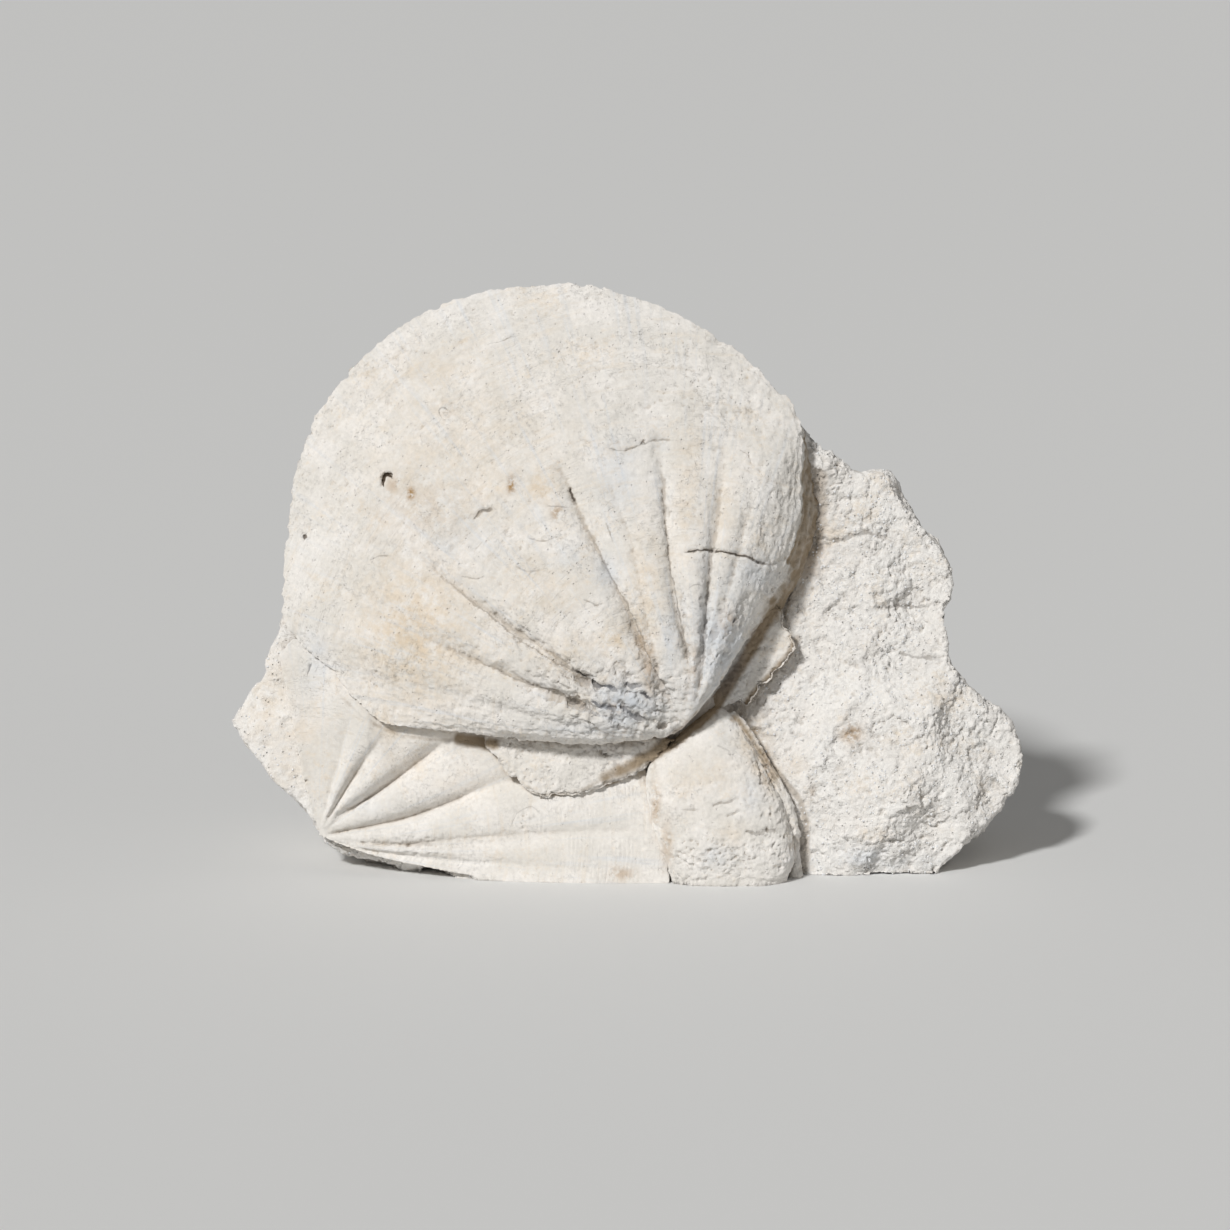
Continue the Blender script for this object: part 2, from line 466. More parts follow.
def fan_position(fan, x, y):
    """The share and the angle of points, found by stepping towards the ray that passes through each."""
    umbo, margin, bends = fan
    low, high = margin[0][0], margin[-1][0]
    across, up = x - umbo[0], y - umbo[1]
    distance = np.hypot(across, up)
    heading = np.degrees(np.arctan2(up, across))
    heading = np.where(heading < low - 90, heading + 360, heading)
    angle = np.clip(heading, low, high)
    for _ in range(50):
        share = np.clip(distance / smooth_through(margin, angle), 0, 1)
        bend, fade = ray_bend(bends, angle)
        angle = np.clip(angle + 0.4 * (heading - angle - bend * (1 - share) ** fade), low, high)
    return distance / smooth_through(margin, angle), angle


def plane_height(plane, x, y):
    return plane[0] + plane[1] * x + plane[2] * y


def ribbing(grooves, swell, depth_share, share, angle):
    """Height that the ribs add: broad furrows at the grooves, and a swell between each two of them."""
    height = np.zeros_like(angle)
    for centre, depth, half_width, end in grooves:
        fade = np.clip((end - share) / GROOVE_END, 0, 1) * np.clip(share / GROOVE_START, 0, 1)
        furrow = np.exp(-((np.abs(angle - centre) / half_width) ** GROOVE_SHARPNESS))
        height -= depth_share * depth * fade * furrow
    centres = [groove[0] for groove in grooves]
    fade = np.clip((1 - share) / SWELL_END, 0, 1) * np.clip(share / SWELL_START, 0, 1)
    for low, high in zip(centres, centres[1:]):
        across = np.clip((2 * angle - low - high) / (high - low), -1, 1)
        height += swell * fade * (1 - across**2)
    return height


def large_valve_height(share, angle, x, y):
    """A dome over the rim's plane, steep at the flanks, with its ribs."""
    low, high = LARGE_MARGIN[0][0], LARGE_MARGIN[-1][0]
    across = np.sin(np.pi * np.clip((angle - low) / (high - low), 0, 1)) ** LARGE_SQUARE_ACROSS
    crest_power = math.log(0.5) / math.log(LARGE_CREST)
    profile = 1 - np.abs(2 * share**crest_power - 1) ** LARGE_SQUARE_ALONG
    ribs = ribbing(LARGE_GROOVES, LARGE_RIB_SWELL, 0.35, share, angle)
    return plane_height(LARGE_RIM, x, y) + LARGE_DOME * across * profile + ribs


def small_valve_height(share, angle, x, y):
    """The upper left lies flush with the large valve's rim, and the stretch beside it rises to the rim."""
    tilt = np.interp(angle, *np.array(SMALL_TILT).T)
    rise = SMALL_RISE * tilt * (1 - (1 - share) ** SMALL_ROUNDNESS)
    ribs = ribbing(SMALL_GROOVES, SMALL_RIB_SWELL, 0.45, share, angle)
    height = SMALL_BEAK_HEIGHT + rise + ribs
    outside = distance_outside(x, y, fan_outline(LARGE_FAN))
    flush = plane_height(LARGE_RIM, x, y) - FLUSH_DROP
    near = np.clip(1 - outside / 0.020, 0, 1)
    upper_left = np.clip((-0.082 - x) / 0.010, 0, 1)
    blend = near**2 * (3 - 2 * near) * upper_left
    height = height + (flush - height) * blend
    beside = np.clip(1 - outside / 0.011, 0, 1) * np.clip((-0.050 - x) / 0.012, 0, 1)
    missing = np.maximum(flush - UNDER_RIM_DROP - height, 0)
    return height + missing * UNDER_RIM_SHARE * beside**2 * (3 - 2 * beside)


def fan_outline(fan, steps=60):
    """A valve's outline: up one flank from the umbo, round the margin and down the other flank."""
    low, high = fan[1][0][0], fan[1][-1][0]
    flank = np.linspace(0, 1, steps // 3)[:-1]
    angles = np.linspace(low, high, steps)
    first = fan_place(fan, flank, np.full(len(flank), low))
    margin = fan_place(fan, np.ones(steps), angles)
    second = fan_place(fan, flank[:0:-1], np.full(len(flank) - 1, high))
    return [pair for line in (first, margin, second) for pair in zip(*line)]


def distance_outside(x, y, outline, signed=False):
    """How far each point lies outside a closed outline, and 0 inside it, or minus the depth if signed."""
    corners = np.array(outline, float)
    ends = np.roll(corners, -1, axis=0)
    gap = np.full(len(x), np.inf)
    crossings = np.zeros(len(x), int)
    for (from_x, from_y), (to_x, to_y) in zip(corners, ends):
        along_x, along_y = to_x - from_x, to_y - from_y
        length = along_x**2 + along_y**2
        if length < 1e-14:
            continue
        share = np.clip(((x - from_x) * along_x + (y - from_y) * along_y) / length, 0, 1)
        gap = np.minimum(gap, np.hypot(x - from_x - share * along_x, y - from_y - share * along_y))
        if along_y != 0:
            spans = (from_y > y) != (to_y > y)
            crossings += spans & (x < from_x + (y - from_y) * along_x / along_y)
    inside = crossings % 2 == 1
    return np.where(inside, -gap if signed else 0.0, gap)


def beyond(fan, points, steps=60):
    """How far each point lies outside a valve's outline, and below 0 inside it."""
    return distance_outside(points[:, 0], points[:, 1], fan_outline(fan, steps), signed=True)


def roughness_at(x, y, size, seed):
    """Noise from -1 to 1 at places in the relief."""
    shift = Vector((seed * 3.7, seed * 1.9, seed * 0.7))
    return np.array([noise.noise(Vector((a / size, b / size, 0)) + shift) for a, b in zip(x, y)])


def bites(x, y, depth, seed):
    """How far a margin is bitten away at each place: long shallow bites, and short sharp ones on them."""
    long_bites = roughness_at(x, y, 0.011, seed)
    short_bites = roughness_at(x, y, 0.0038, seed + 5)
    fine_bites = roughness_at(x, y, 0.0016, seed + 9)
    return depth * (0.35 * long_bites + 0.85 * np.clip(short_bites - 0.10, 0, 1) * 2 + 0.45 * fine_bites)


def new_object(name, data):
    obj = bpy.data.objects.new(name, data)
    bpy.context.scene.collection.objects.link(obj)
    return obj


def new_piece(name, vertices, faces):
    mesh = bpy.data.meshes.new(name)
    mesh.from_pydata([tuple(v) for v in vertices], [], faces)
    mesh.update()
    return new_object(name, mesh)


def face_outward(mesh, weld=0.0):
    """Turns all faces outward, and first joins points nearer than weld."""
    bm = bmesh.new()
    bm.from_mesh(mesh)
    if weld:
        bmesh.ops.remove_doubles(bm, verts=bm.verts, dist=weld)
    bmesh.ops.recalc_face_normals(bm, faces=bm.faces)
    bm.to_mesh(mesh)
    bm.free()


def settle(obj):
    """Replaces an object's mesh by what its modifiers make of it, and takes them off."""
    bpy.context.view_layer.update()
    depsgraph = bpy.context.evaluated_depsgraph_get()
    made = bpy.data.meshes.new_from_object(
        obj.evaluated_get(depsgraph), preserve_all_data_layers=True, depsgraph=depsgraph)
    obj.modifiers.clear()
    old = obj.data
    obj.data = made
    bpy.data.meshes.remove(old)
    made.name = obj.name
    return obj


def remesh(obj, size):
    modifier = obj.modifiers.new("even faces", "REMESH")
    modifier.mode = "VOXEL"
    modifier.voxel_size = size * 1.0
    return settle(obj)


def triples(items, key):
    """The three numbers that each item has under the key, as rows."""
    flat = np.empty(len(items) * 3, np.float32)
    items.foreach_get(key, flat)
    return flat.reshape(-1, 3).astype(float)


def positions(obj):
    return triples(obj.data.vertices, "co")


def normals(obj):
    return triples(obj.data.vertices, "normal")


def move_to(obj, points):
    obj.data.vertices.foreach_set("co", np.asarray(points, np.float32).ravel())
    obj.data.update()


def paint(obj, name, values):
    """Writes one number for each vertex as a named attribute."""
    layer = obj.data.attributes.get(name) or obj.data.attributes.new(name, "FLOAT", "POINT")
    layer.data.foreach_set("value", np.asarray(values, np.float32))


def paint_all(obj, **values):
    """Writes several numbers for each vertex. A single value stands for all the vertices."""
    for name, value in values.items():
        paint(obj, name, np.broadcast_to(value, len(obj.data.vertices)))


def paint_places(obj, name, values):
    layer = obj.data.attributes.get(name) or obj.data.attributes.new(name, "FLOAT_VECTOR", "POINT")
    layer.data.foreach_set("vector", np.asarray(values, np.float32).ravel())


def seen(points):
    """Where the camera sees each point on the relief's own plane, in metres."""
    grow = EYE_HEIGHT / (EYE_HEIGHT - points[:, 2])
    x = AIM_IN_RELIEF.x + (points[:, 0] - AIM_IN_RELIEF.x) * grow
    y = AIM_IN_RELIEF.y + (points[:, 1] - AIM_IN_RELIEF.y) * grow
    return np.column_stack((x, y, np.zeros(len(x))))


def patch_mask(places, patches):
    """The strongest of the soft round patches at each place."""
    mask = np.zeros(len(places))
    for x, y, half_width, half_height, strength in patches:
        apart = ((places[:, 0] / MM - x) / half_width) ** 2 + ((places[:, 1] / MM - y) / half_height) ** 2
        mask = np.maximum(mask, strength * np.exp(-apart * 0.9))
    return mask


def soil_mask(places, height):
    """How much soil the routes leave at each place, less on what stands high above its surroundings."""
    mask = np.zeros(len(places))
    for width, strength, corners in SOIL_ROUTES:
        route = [(x * MM, y * MM) for x, y in corners]
        apart = distance_to_route(places[:, 0], places[:, 1], route) / (width * MM)
        mask = np.maximum(mask, strength * np.exp(-apart**2))
    return mask * height


def distance_to_route(x, y, route):
    gap = np.full(len(x), np.inf)
    for (from_x, from_y), (to_x, to_y) in zip(route, route[1:]):
        along_x, along_y = to_x - from_x, to_y - from_y
        share = ((x - from_x) * along_x + (y - from_y) * along_y) / (along_x**2 + along_y**2)
        share = np.clip(share, 0, 1)
        gap = np.minimum(gap, np.hypot(x - from_x - share * along_x, y - from_y - share * along_y))
    return gap


def paint_patches(obj, rough_ground):
    """Writes the painted patches, the roughness and the seen places that the trees and materials read."""
    points = positions(obj)
    places = seen(points)
    front = np.clip(normals(obj)[:, 2] * 4, 0, 1)
    paint_places(obj, "seen", places)
    paint(obj, "front", front)
    for name, patches in (("warm", WARM_PATCHES), ("cool", COOL_PATCHES), ("rust", RUST_PATCHES)):
        paint(obj, name, patch_mask(places, patches) * front)
    paint(obj, "soil", soil_mask(places, smooth_step(points[:, 2], -0.012, -0.006)))
    paint(obj, "rough", np.clip(rough_ground + patch_mask(places, ROUGH_PATCHES), 0, 1))


def shell_solid(name, fan, height, underside, wall, columns, rows, seed, depth):
    """A valve as a closed solid: a grid along its rays, then a wall of rings down to a flat underside.

    wall gives, for each place of the rim, how far the wall stands out at its foot and how much lower it ends.
    """
    low, high = fan[1][0][0], fan[1][-1][0]
    angles = np.linspace(low, high, columns)
    shares = np.linspace(0, 1, rows + 1)[1:] ** 0.9
    angle, share = np.meshgrid(angles, shares)
    angle, share = angle.ravel(), share.ravel()
    margin_x, margin_y = fan_place(fan, np.ones(columns), angles)
    shorter = 1 - bites(margin_x, margin_y, depth, seed) / smooth_through(fan[1], angles)
    x, y = fan_place(fan, share, angle)
    pull = 1 - (1 - np.tile(shorter, rows)) * share**14
    x, y = fan[0][0] + (x - fan[0][0]) * pull, fan[0][1] + (y - fan[0][1]) * pull
    z = height(share, angle, x, y)
    beak = [np.array([value]) for value in (0.0, (low + high) / 2, *fan[0])]
    beak_height = float(height(*beak)[0])
    points = [(fan[0][0], fan[0][1], beak_height), *zip(x, y, z)]

    def at(row, column):
        return 1 + row * columns + column

    faces = [(0, at(0, c), at(0, c + 1)) for c in range(columns - 1)]
    faces += [
        (at(r, c), at(r + 1, c), at(r + 1, c + 1), at(r, c + 1))
        for r in range(rows - 1) for c in range(columns - 1)
    ]
    loop = [0] + [at(r, 0) for r in range(rows)] + [at(rows - 1, c) for c in range(1, columns)]
    loop += [at(r, columns - 1) for r in range(rows - 2, -1, -1)]
    rim = np.array([points[i] for i in loop])
    along = np.roll(rim, -1, axis=0) - np.roll(rim, 1, axis=0)
    outward = np.column_stack((along[:, 1], -along[:, 0]))
    outward /= np.maximum(np.linalg.norm(outward, axis=1, keepdims=True), 1e-9)
    foot_out, foot_lower = wall(rim)
    foot = plane_height(underside, rim[:, 0], rim[:, 1]) - foot_lower
    even = rim[:, :2].copy()
    for _ in range(WALL_SMOOTHING):
        even = (np.roll(even, 1, axis=0) + 2 * even + np.roll(even, -1, axis=0)) / 4
    above = loop
    for down, out in ((0.12, 0.05), (0.35, 0.32), (0.68, 0.72), (1.0, 1.0)):
        ring = rim.copy()
        below_rim = min(1.0, down * 3)
        ring[:, :2] += (even - rim[:, :2]) * below_rim
        ring[:, :2] += outward * (foot_out * out - UNDERCUT * below_rim)[:, None]
        ring[:, 2] += (foot - rim[:, 2]) * down
        start = len(points)
        points.extend(map(tuple, ring))
        below = list(range(start, start + len(ring)))
        count = len(loop)
        faces += [(above[i], below[i], below[(i + 1) % count], above[(i + 1) % count]) for i in range(count)]
        above = below
    faces.append(tuple(reversed(above)))
    return new_piece(name, points, faces)


def drop_scraps(bm):
    """Takes away all but the largest of the separate parts that a mesh has."""
    parts, found = [], set()
    for first in bm.verts:
        if first in found:
            continue
        part, ahead = [], [first]
        found.add(first)
        while ahead:
            vert = ahead.pop()
            part.append(vert)
            for edge in vert.link_edges:
                other = edge.other_vert(vert)
                if other not in found:
                    found.add(other)
                    ahead.append(other)
        parts.append(part)
    parts.sort(key=len)
    scraps = [vert for part in parts[:-1] for vert in part]
    bmesh.ops.delete(bm, geom=scraps, context="VERTS")


def plain_rims(bm):
    """Takes away points where two holes touch, so that each hole has one plain rim that can be filled."""
    while True:
        pinched = [vert for vert in bm.verts if sum(edge.is_boundary for edge in vert.link_edges) > 2]
        if not pinched:
            return
        bmesh.ops.delete(bm, geom=pinched, context="VERTS")


def cap_underside(obj, hidden, level=None):
    """Takes away hidden faces and closes the holes that they leave, with walls down to a given level."""
    bm = bmesh.new()
    bm.from_mesh(obj.data)
    bm.faces.ensure_lookup_table()
    bmesh.ops.delete(bm, geom=[bm.faces[i] for i in np.nonzero(hidden)[0]], context="FACES")
    plain_rims(bm)
    drop_scraps(bm)
    open_edges = [edge for edge in bm.edges if edge.is_boundary]
    if level is not None:
        walls = bmesh.ops.extrude_edge_only(bm, edges=open_edges)["geom"]
        for vert in walls:
            if isinstance(vert, bmesh.types.BMVert):
                vert.co.z = level
        open_edges = [edge for edge in walls if isinstance(edge, bmesh.types.BMEdge) and edge.is_boundary]
    bmesh.ops.holes_fill(bm, edges=open_edges, sides=0)
    bmesh.ops.delete(bm, geom=[v for v in bm.verts if not v.link_faces], context="VERTS")
    bm.to_mesh(obj.data)
    bm.free()


def face_centres(obj):
    """The centre of each face, and which way it faces."""
    return triples(obj.data.polygons, "center"), triples(obj.data.polygons, "normal")


def cap_flat_underside(obj, plane):
    """Replaces a valve's flat underside by a plain cap."""
    centres, facing = face_centres(obj)
    level = plane_height(plane, centres[:, 0], centres[:, 1])
    cap_underside(obj, (facing[:, 2] < -0.9) & (centres[:, 2] < level + UNDERSIDE_MARGIN))


def cut_at_floor(obj):
    """Cuts a piece off flat at the level that the block stands on."""
    lean = math.radians(LEAN)
    bm = bmesh.new()
    bm.from_mesh(obj.data)
    cut = bmesh.ops.bisect_plane(
        bm, geom=[*bm.verts, *bm.edges, *bm.faces], dist=1e-7, plane_co=(0, 0, 0),
        plane_no=(0, math.cos(lean), math.sin(lean)), clear_inner=True)
    edges = [g for g in cut["geom_cut"] if isinstance(g, bmesh.types.BMEdge)]
    bmesh.ops.holes_fill(bm, edges=edges, sides=0)
    drop_scraps(bm)
    bmesh.ops.recalc_face_normals(bm, faces=bm.faces)
    bm.to_mesh(obj.data)
    bm.free()


def line_network(name, lines, step=LINE_STEP):
    """A mesh of edges along the lines given, with their depth, half width and direction on its points."""
    points, edges, depths, widths, directions = [], [], [], [], []
    for depth, width, corners in lines:
        route = np.array(corners, float) * MM
        lengths = np.concatenate(([0], np.cumsum(np.linalg.norm(np.diff(route, axis=0), axis=1))))
        count = max(2, int(lengths[-1] / step) + 1)
        at = np.linspace(0, lengths[-1], count)
        x, y = np.interp(at, lengths, route[:, 0]), np.interp(at, lengths, route[:, 1])
        if len(corners) > 3:
            x, y = (smooth_through(list(zip(lengths, route[:, axis])), at) for axis in (0, 1))
        along = np.column_stack((np.gradient(x), np.gradient(y), np.zeros(count)))
        along /= np.linalg.norm(along, axis=1, keepdims=True)
        travel = at / max(lengths[-1], 1e-9)
        fade = np.ones(count)
        if count >= LEAST_TO_FADE:
            fade = np.clip(np.minimum(travel / FADE_IN, (1 - travel) / FADE_OUT), 0.05, 1)
        first = len(points)
        points.extend(zip(x, y, np.zeros(count)))
        edges.extend((first + i, first + i + 1) for i in range(count - 1))
        depths.extend(depth * MM * fade)
        widths.extend(width * MM * (START_WIDTH + (1 - START_WIDTH) * travel))
        directions.extend(along)
    mesh = bpy.data.meshes.new(name)
    mesh.from_pydata(points, edges, [])
    obj = new_object(name, mesh)
    paint(obj, "depth", depths)
    paint(obj, "half_width", widths)
    paint_places(obj, "along", directions)
    obj.hide_render = True
    return obj


# Node trees -------------------------------------------------------------------


class NodeBuilder:
    """Adds nodes to a tree. Each input is given as a value or as the output of another node."""

    def __init__(self, tree):
        self.tree = tree

    def add(self, kind, inputs=(), output=0, **settings):
        """Gives back the output asked for, or all of them for None."""
        node = self.tree.nodes.new(kind)
        for key, value in settings.items():
            setattr(node, key, value)
        for key, value in dict(inputs).items():
            self.feed(node.inputs[key], value)
        return node.outputs if output is None else node.outputs[output]

    def feed(self, socket, value):
        if isinstance(value, bpy.types.NodeSocket):
            self.tree.links.new(value, socket)
        else:
            socket.default_value = value

    def math(self, operation, *values, clamp=False):
        return self.add("ShaderNodeMath", dict(enumerate(values)), operation=operation, use_clamp=clamp)

    def times(self, *values):
        return functools.reduce(lambda first, second: self.math("MULTIPLY", first, second), values)

    def plus(self, *values):
        return functools.reduce(lambda first, second: self.math("ADD", first, second), values)

    def most(self, *values):
        return functools.reduce(lambda first, second: self.math("MAXIMUM", first, second), values)

    def minus(self, first, second):
        return self.math("SUBTRACT", first, second)

    def over(self, first, second):
        return self.math("DIVIDE", first, second)

    def vector(self, operation, *values, output=0):
        inputs = {}
        for index, value in enumerate(values):
            inputs[3 if operation == "SCALE" and index == 1 else index] = value
        return self.add("ShaderNodeVectorMath", inputs, output, operation=operation)

    def combine(self, **parts):
        return self.add("ShaderNodeCombineXYZ", parts)

    def channel(self, colour, name):
        return self.add("FunctionNodeSeparateColor", {"Color": colour}, name)

    def ramp(self, value, low, high, start=0.0, end=1.0):
        """start where the value is low, end where it is high, and smooth between."""
        return self.add("ShaderNodeMapRange", {0: value, 1: low, 2: high, 3: start, 4: end},
                        interpolation_type="SMOOTHSTEP")

    def straight(self, value, start):
        """From start where the value is 0 up to 1 where it is 1."""
        return self.add("ShaderNodeMapRange", {0: value, 1: 0.0, 2: 1.0, 3: start, 4: 1.0})

    def named(self, name, kind="FLOAT"):
        return self.add("GeometryNodeInputNamedAttribute", {"Name": name}, data_type=kind)

    def painted(self, name):
        """A painted attribute, as a material reads it."""
        return self.add("ShaderNodeAttribute", output="Fac", attribute_type="GEOMETRY", attribute_name=name)

    def store(self, geometry, name, value, kind="FLOAT"):
        return self.add("GeometryNodeStoreNamedAttribute",
                        {"Geometry": geometry, "Name": name, "Value": value},
                        data_type=kind, domain="POINT")

    def noise(self, vector, scale, detail=2.0, roughness=0.5, distortion=0.0, output="Fac"):
        return self.add("ShaderNodeTexNoise", {"Vector": vector, "Scale": scale, "Detail": detail,
                                               "Roughness": roughness, "Distortion": distortion}, output)

    def swing(self, *values):
        """Noise that swings about 0."""
        return self.minus(self.noise(*values), 0.5)

    def shake(self, vector, scale, detail, amount):
        """Noise in all three directions, as far as the amount."""
        shake = self.noise(vector, scale, detail, output="Color")
        return self.vector("SCALE", self.vector("SUBTRACT", shake, (0.5, 0.5, 0.5)), amount)

    def mix_colour(self, factor, first, second):
        return self.add("ShaderNodeMix", {0: factor, 6: first, 7: second}, 2, data_type="RGBA")


SOCKETS = {
    "geometry": "NodeSocketGeometry", "float": "NodeSocketFloat", "int": "NodeSocketInt",
    "object": "NodeSocketObject", "material": "NodeSocketMaterial", "text": "NodeSocketString",
    "colour": "NodeSocketColor", "vector": "NodeSocketVector",
}


def new_tree(name, kind, inputs, outputs):
    """A node group with named inputs, each (name, kind, default), and outputs, each (name, kind)."""
    tree = bpy.data.node_groups.new(name, kind)
    for label, socket, default in inputs:
        made = tree.interface.new_socket(name=label, in_out="INPUT", socket_type=SOCKETS[socket])
        if default is not None:
            made.default_value = default
    for label, socket in outputs:
        tree.interface.new_socket(name=label, in_out="OUTPUT", socket_type=SOCKETS[socket])
    given = tree.nodes.new("NodeGroupInput").outputs
    result = tree.nodes.new("NodeGroupOutput").inputs
    return NodeBuilder(tree), given, result


def geometry_tree(name, *others, **numbers):
    """A geometry tree that takes a geometry, the other inputs, the numbers, and a material.

    The names of the numbers have _ for a space.
    """
    inputs = [("Geometry", "geometry", None), *others]
    inputs += [(key.replace("_", " "), "float", value) for key, value in numbers.items()]
    return new_tree(name, "GeometryNodeTree", (*inputs, ("Material", "material", None)),
                    (("Geometry", "geometry"),))


def shader_group(name, inputs, outputs):
    """A shader group. Each input is (name, default): None stands for a place and "colour" for a colour."""
    kinds = {None: "vector", "colour": "colour"}
    sockets = [(label, kinds.get(default, "float"), default if default not in kinds else None)
               for label, default in inputs]
    return new_tree(name, "ShaderNodeTree", sockets, outputs)


def finish_geometry(nodes, given, result, geometry):
    """Ends a geometry tree: realised instances, and the piece's material."""
    realised = nodes.add("GeometryNodeRealizeInstances", {"Geometry": geometry})
    coated = nodes.add("GeometryNodeSetMaterial", {"Geometry": realised, "Material": given["Material"]})
    nodes.feed(result["Geometry"], coated)


def finish_raised(nodes, given, result, rise):
    """Ends a geometry tree that moves each point along its normal."""
    offset = nodes.vector("SCALE", nodes.add("GeometryNodeInputNormal"), rise)
    moved = nodes.add("GeometryNodeSetPosition", {"Geometry": given["Geometry"], "Offset": offset})
    finish_geometry(nodes, given, result, moved)


def add_tree(obj, name, **values):
    """Puts a geometry tree on an object and sets its inputs, named with _ for a space."""
    tree = bpy.data.node_groups[name]
    modifier = obj.modifiers.new(name, "NODES")
    modifier.node_group = tree
    sockets = {item.name: item.identifier for item in tree.interface.items_tree
               if item.item_type == "SOCKET" and item.in_out == "INPUT"}
    for key, value in values.items():
        modifier[sockets[key.replace("_", " ")]] = value


def furrow_tree():
    """Sinks furrows or cracks along a network of lines, and keeps each point's signed distance to them."""
    nodes, given, result = geometry_tree(
        "Furrows along lines", ("Lines", "object", None), ("Distance name", "text", ""),
        ("Strength name", "text", ""),
        Depth=1.0, Sharpness=1.3, Wander=0.0004, Wander_size=0.004, Mark_reach=0.0015, In_widths=0.0)
    lines = nodes.add("GeometryNodeObjectInfo", {"Object": given["Lines"]}, "Geometry")
    place = nodes.named("seen", "FLOAT_VECTOR")
    shake = nodes.shake(place, nodes.over(1.0, given["Wander size"]), 3.0, given["Wander"])
    place = nodes.vector("MULTIPLY", nodes.vector("ADD", place, shake), (1.0, 1.0, 0.0))
    near = nodes.add("GeometryNodeProximity", {"Geometry": lines, "Sample Position": place}, None,
                     target_element="EDGES")
    index = nodes.add("GeometryNodeSampleNearest", {"Geometry": lines, "Sample Position": place},
                      domain="POINT")

    def on_line(name, kind="FLOAT"):
        return nodes.add("GeometryNodeSampleIndex",
                         {"Geometry": lines, "Value": nodes.named(name, kind), "Index": index},
                         data_type=kind, domain="POINT")

    width, depth, along = on_line("half_width"), on_line("depth"), on_line("along", "FLOAT_VECTOR")
    distance = near["Distance"]
    fall = nodes.math("POWER", nodes.over(distance, width), given["Sharpness"])
    profile = nodes.math("EXPONENT", nodes.times(fall, -1.0))
    sink = nodes.times(depth, profile, given["Depth"], nodes.named("front"))
    away = nodes.vector("SUBTRACT", place, near["Position"])
    turn = nodes.vector("DOT_PRODUCT", nodes.vector("CROSS_PRODUCT", along, away), (0.0, 0.0, 1.0),
                        output="Value")
    signed = nodes.times(nodes.math("SIGN", turn), distance)
    signed = nodes.over(signed, nodes.math("POWER", width, given["In widths"]))
    reach = nodes.most(given["Mark reach"], nodes.times(width, 2.0))
    close = nodes.ramp(distance, reach, nodes.times(reach, 0.5))
    strength = nodes.times(close, nodes.times(depth, STRENGTH_PER_METRE, nodes.named("front")))
    kept = nodes.store(given["Geometry"], given["Distance name"], signed)
    kept = nodes.store(kept, given["Strength name"], nodes.math("MINIMUM", strength, 1.0))
    offset = nodes.combine(Z=nodes.times(sink, -1.0))
    moved = nodes.add("GeometryNodeSetPosition", {"Geometry": kept, "Offset": offset})
    finish_geometry(nodes, given, result, moved)


def growth_tree():
    """Raises growth lines across a shell, and breaks its last stretch into thin layers."""
    nodes, given, result = geometry_tree(
        "Growth lines", Spacing=0.002, Height=0.0001, Bend=0.002, Layer_spacing=0.0016, Layer_height=0.0004,
        Layer_reach=0.006, Terrace_spacing=0.012, Terrace_height=0.0, Streak_height=0.0)
    place, reach = nodes.add("GeometryNodeInputPosition"), nodes.named("reach")
    growth, edge = nodes.named("growth"), nodes.named("from_edge")
    bent = nodes.plus(reach, nodes.times(nodes.swing(place, 90.0, 3.0), given["Bend"]))
    phase = nodes.math("FRACT", nodes.over(bent, given["Spacing"]))
    line = nodes.minus(nodes.ramp(phase, 0.0, 0.75), nodes.ramp(phase, 0.8, 1.0))
    broken = nodes.ramp(nodes.noise(place, 160.0, 2.0), 0.4, 0.62)
    line = nodes.times(line, broken, growth, given["Height"])
    flaked = nodes.plus(edge, nodes.times(nodes.swing(place, 230.0, 3.0), 0.004))
    layer = nodes.ramp(nodes.math("FRACT", nodes.over(flaked, given["Layer spacing"])), 0.05, 0.45)
    layer = nodes.times(layer, nodes.ramp(edge, given["Layer reach"], 0.0), given["Layer height"],
                        nodes.named("layers"))
    drift = nodes.times(nodes.swing(place, 45.0, 4.0, 0.6), 0.020)
    terrace = nodes.math("FRACT", nodes.over(nodes.plus(reach, drift), given["Terrace spacing"]))
    terrace = nodes.minus(terrace, nodes.ramp(terrace, 0.88, 1.0))
    terrace = nodes.times(terrace, given["Terrace height"], growth)
    along = nodes.combine(X=nodes.named("ray"), Y=nodes.times(reach, 0.08))
    streak = nodes.swing(along, 330.0, 3.0, 0.6)
    streak = nodes.times(streak, given["Streak height"], nodes.ramp(reach, 0.03, 0.07))
    finish_raised(nodes, given, result, nodes.plus(nodes.minus(line, layer), nodes.minus(streak, terrace)))


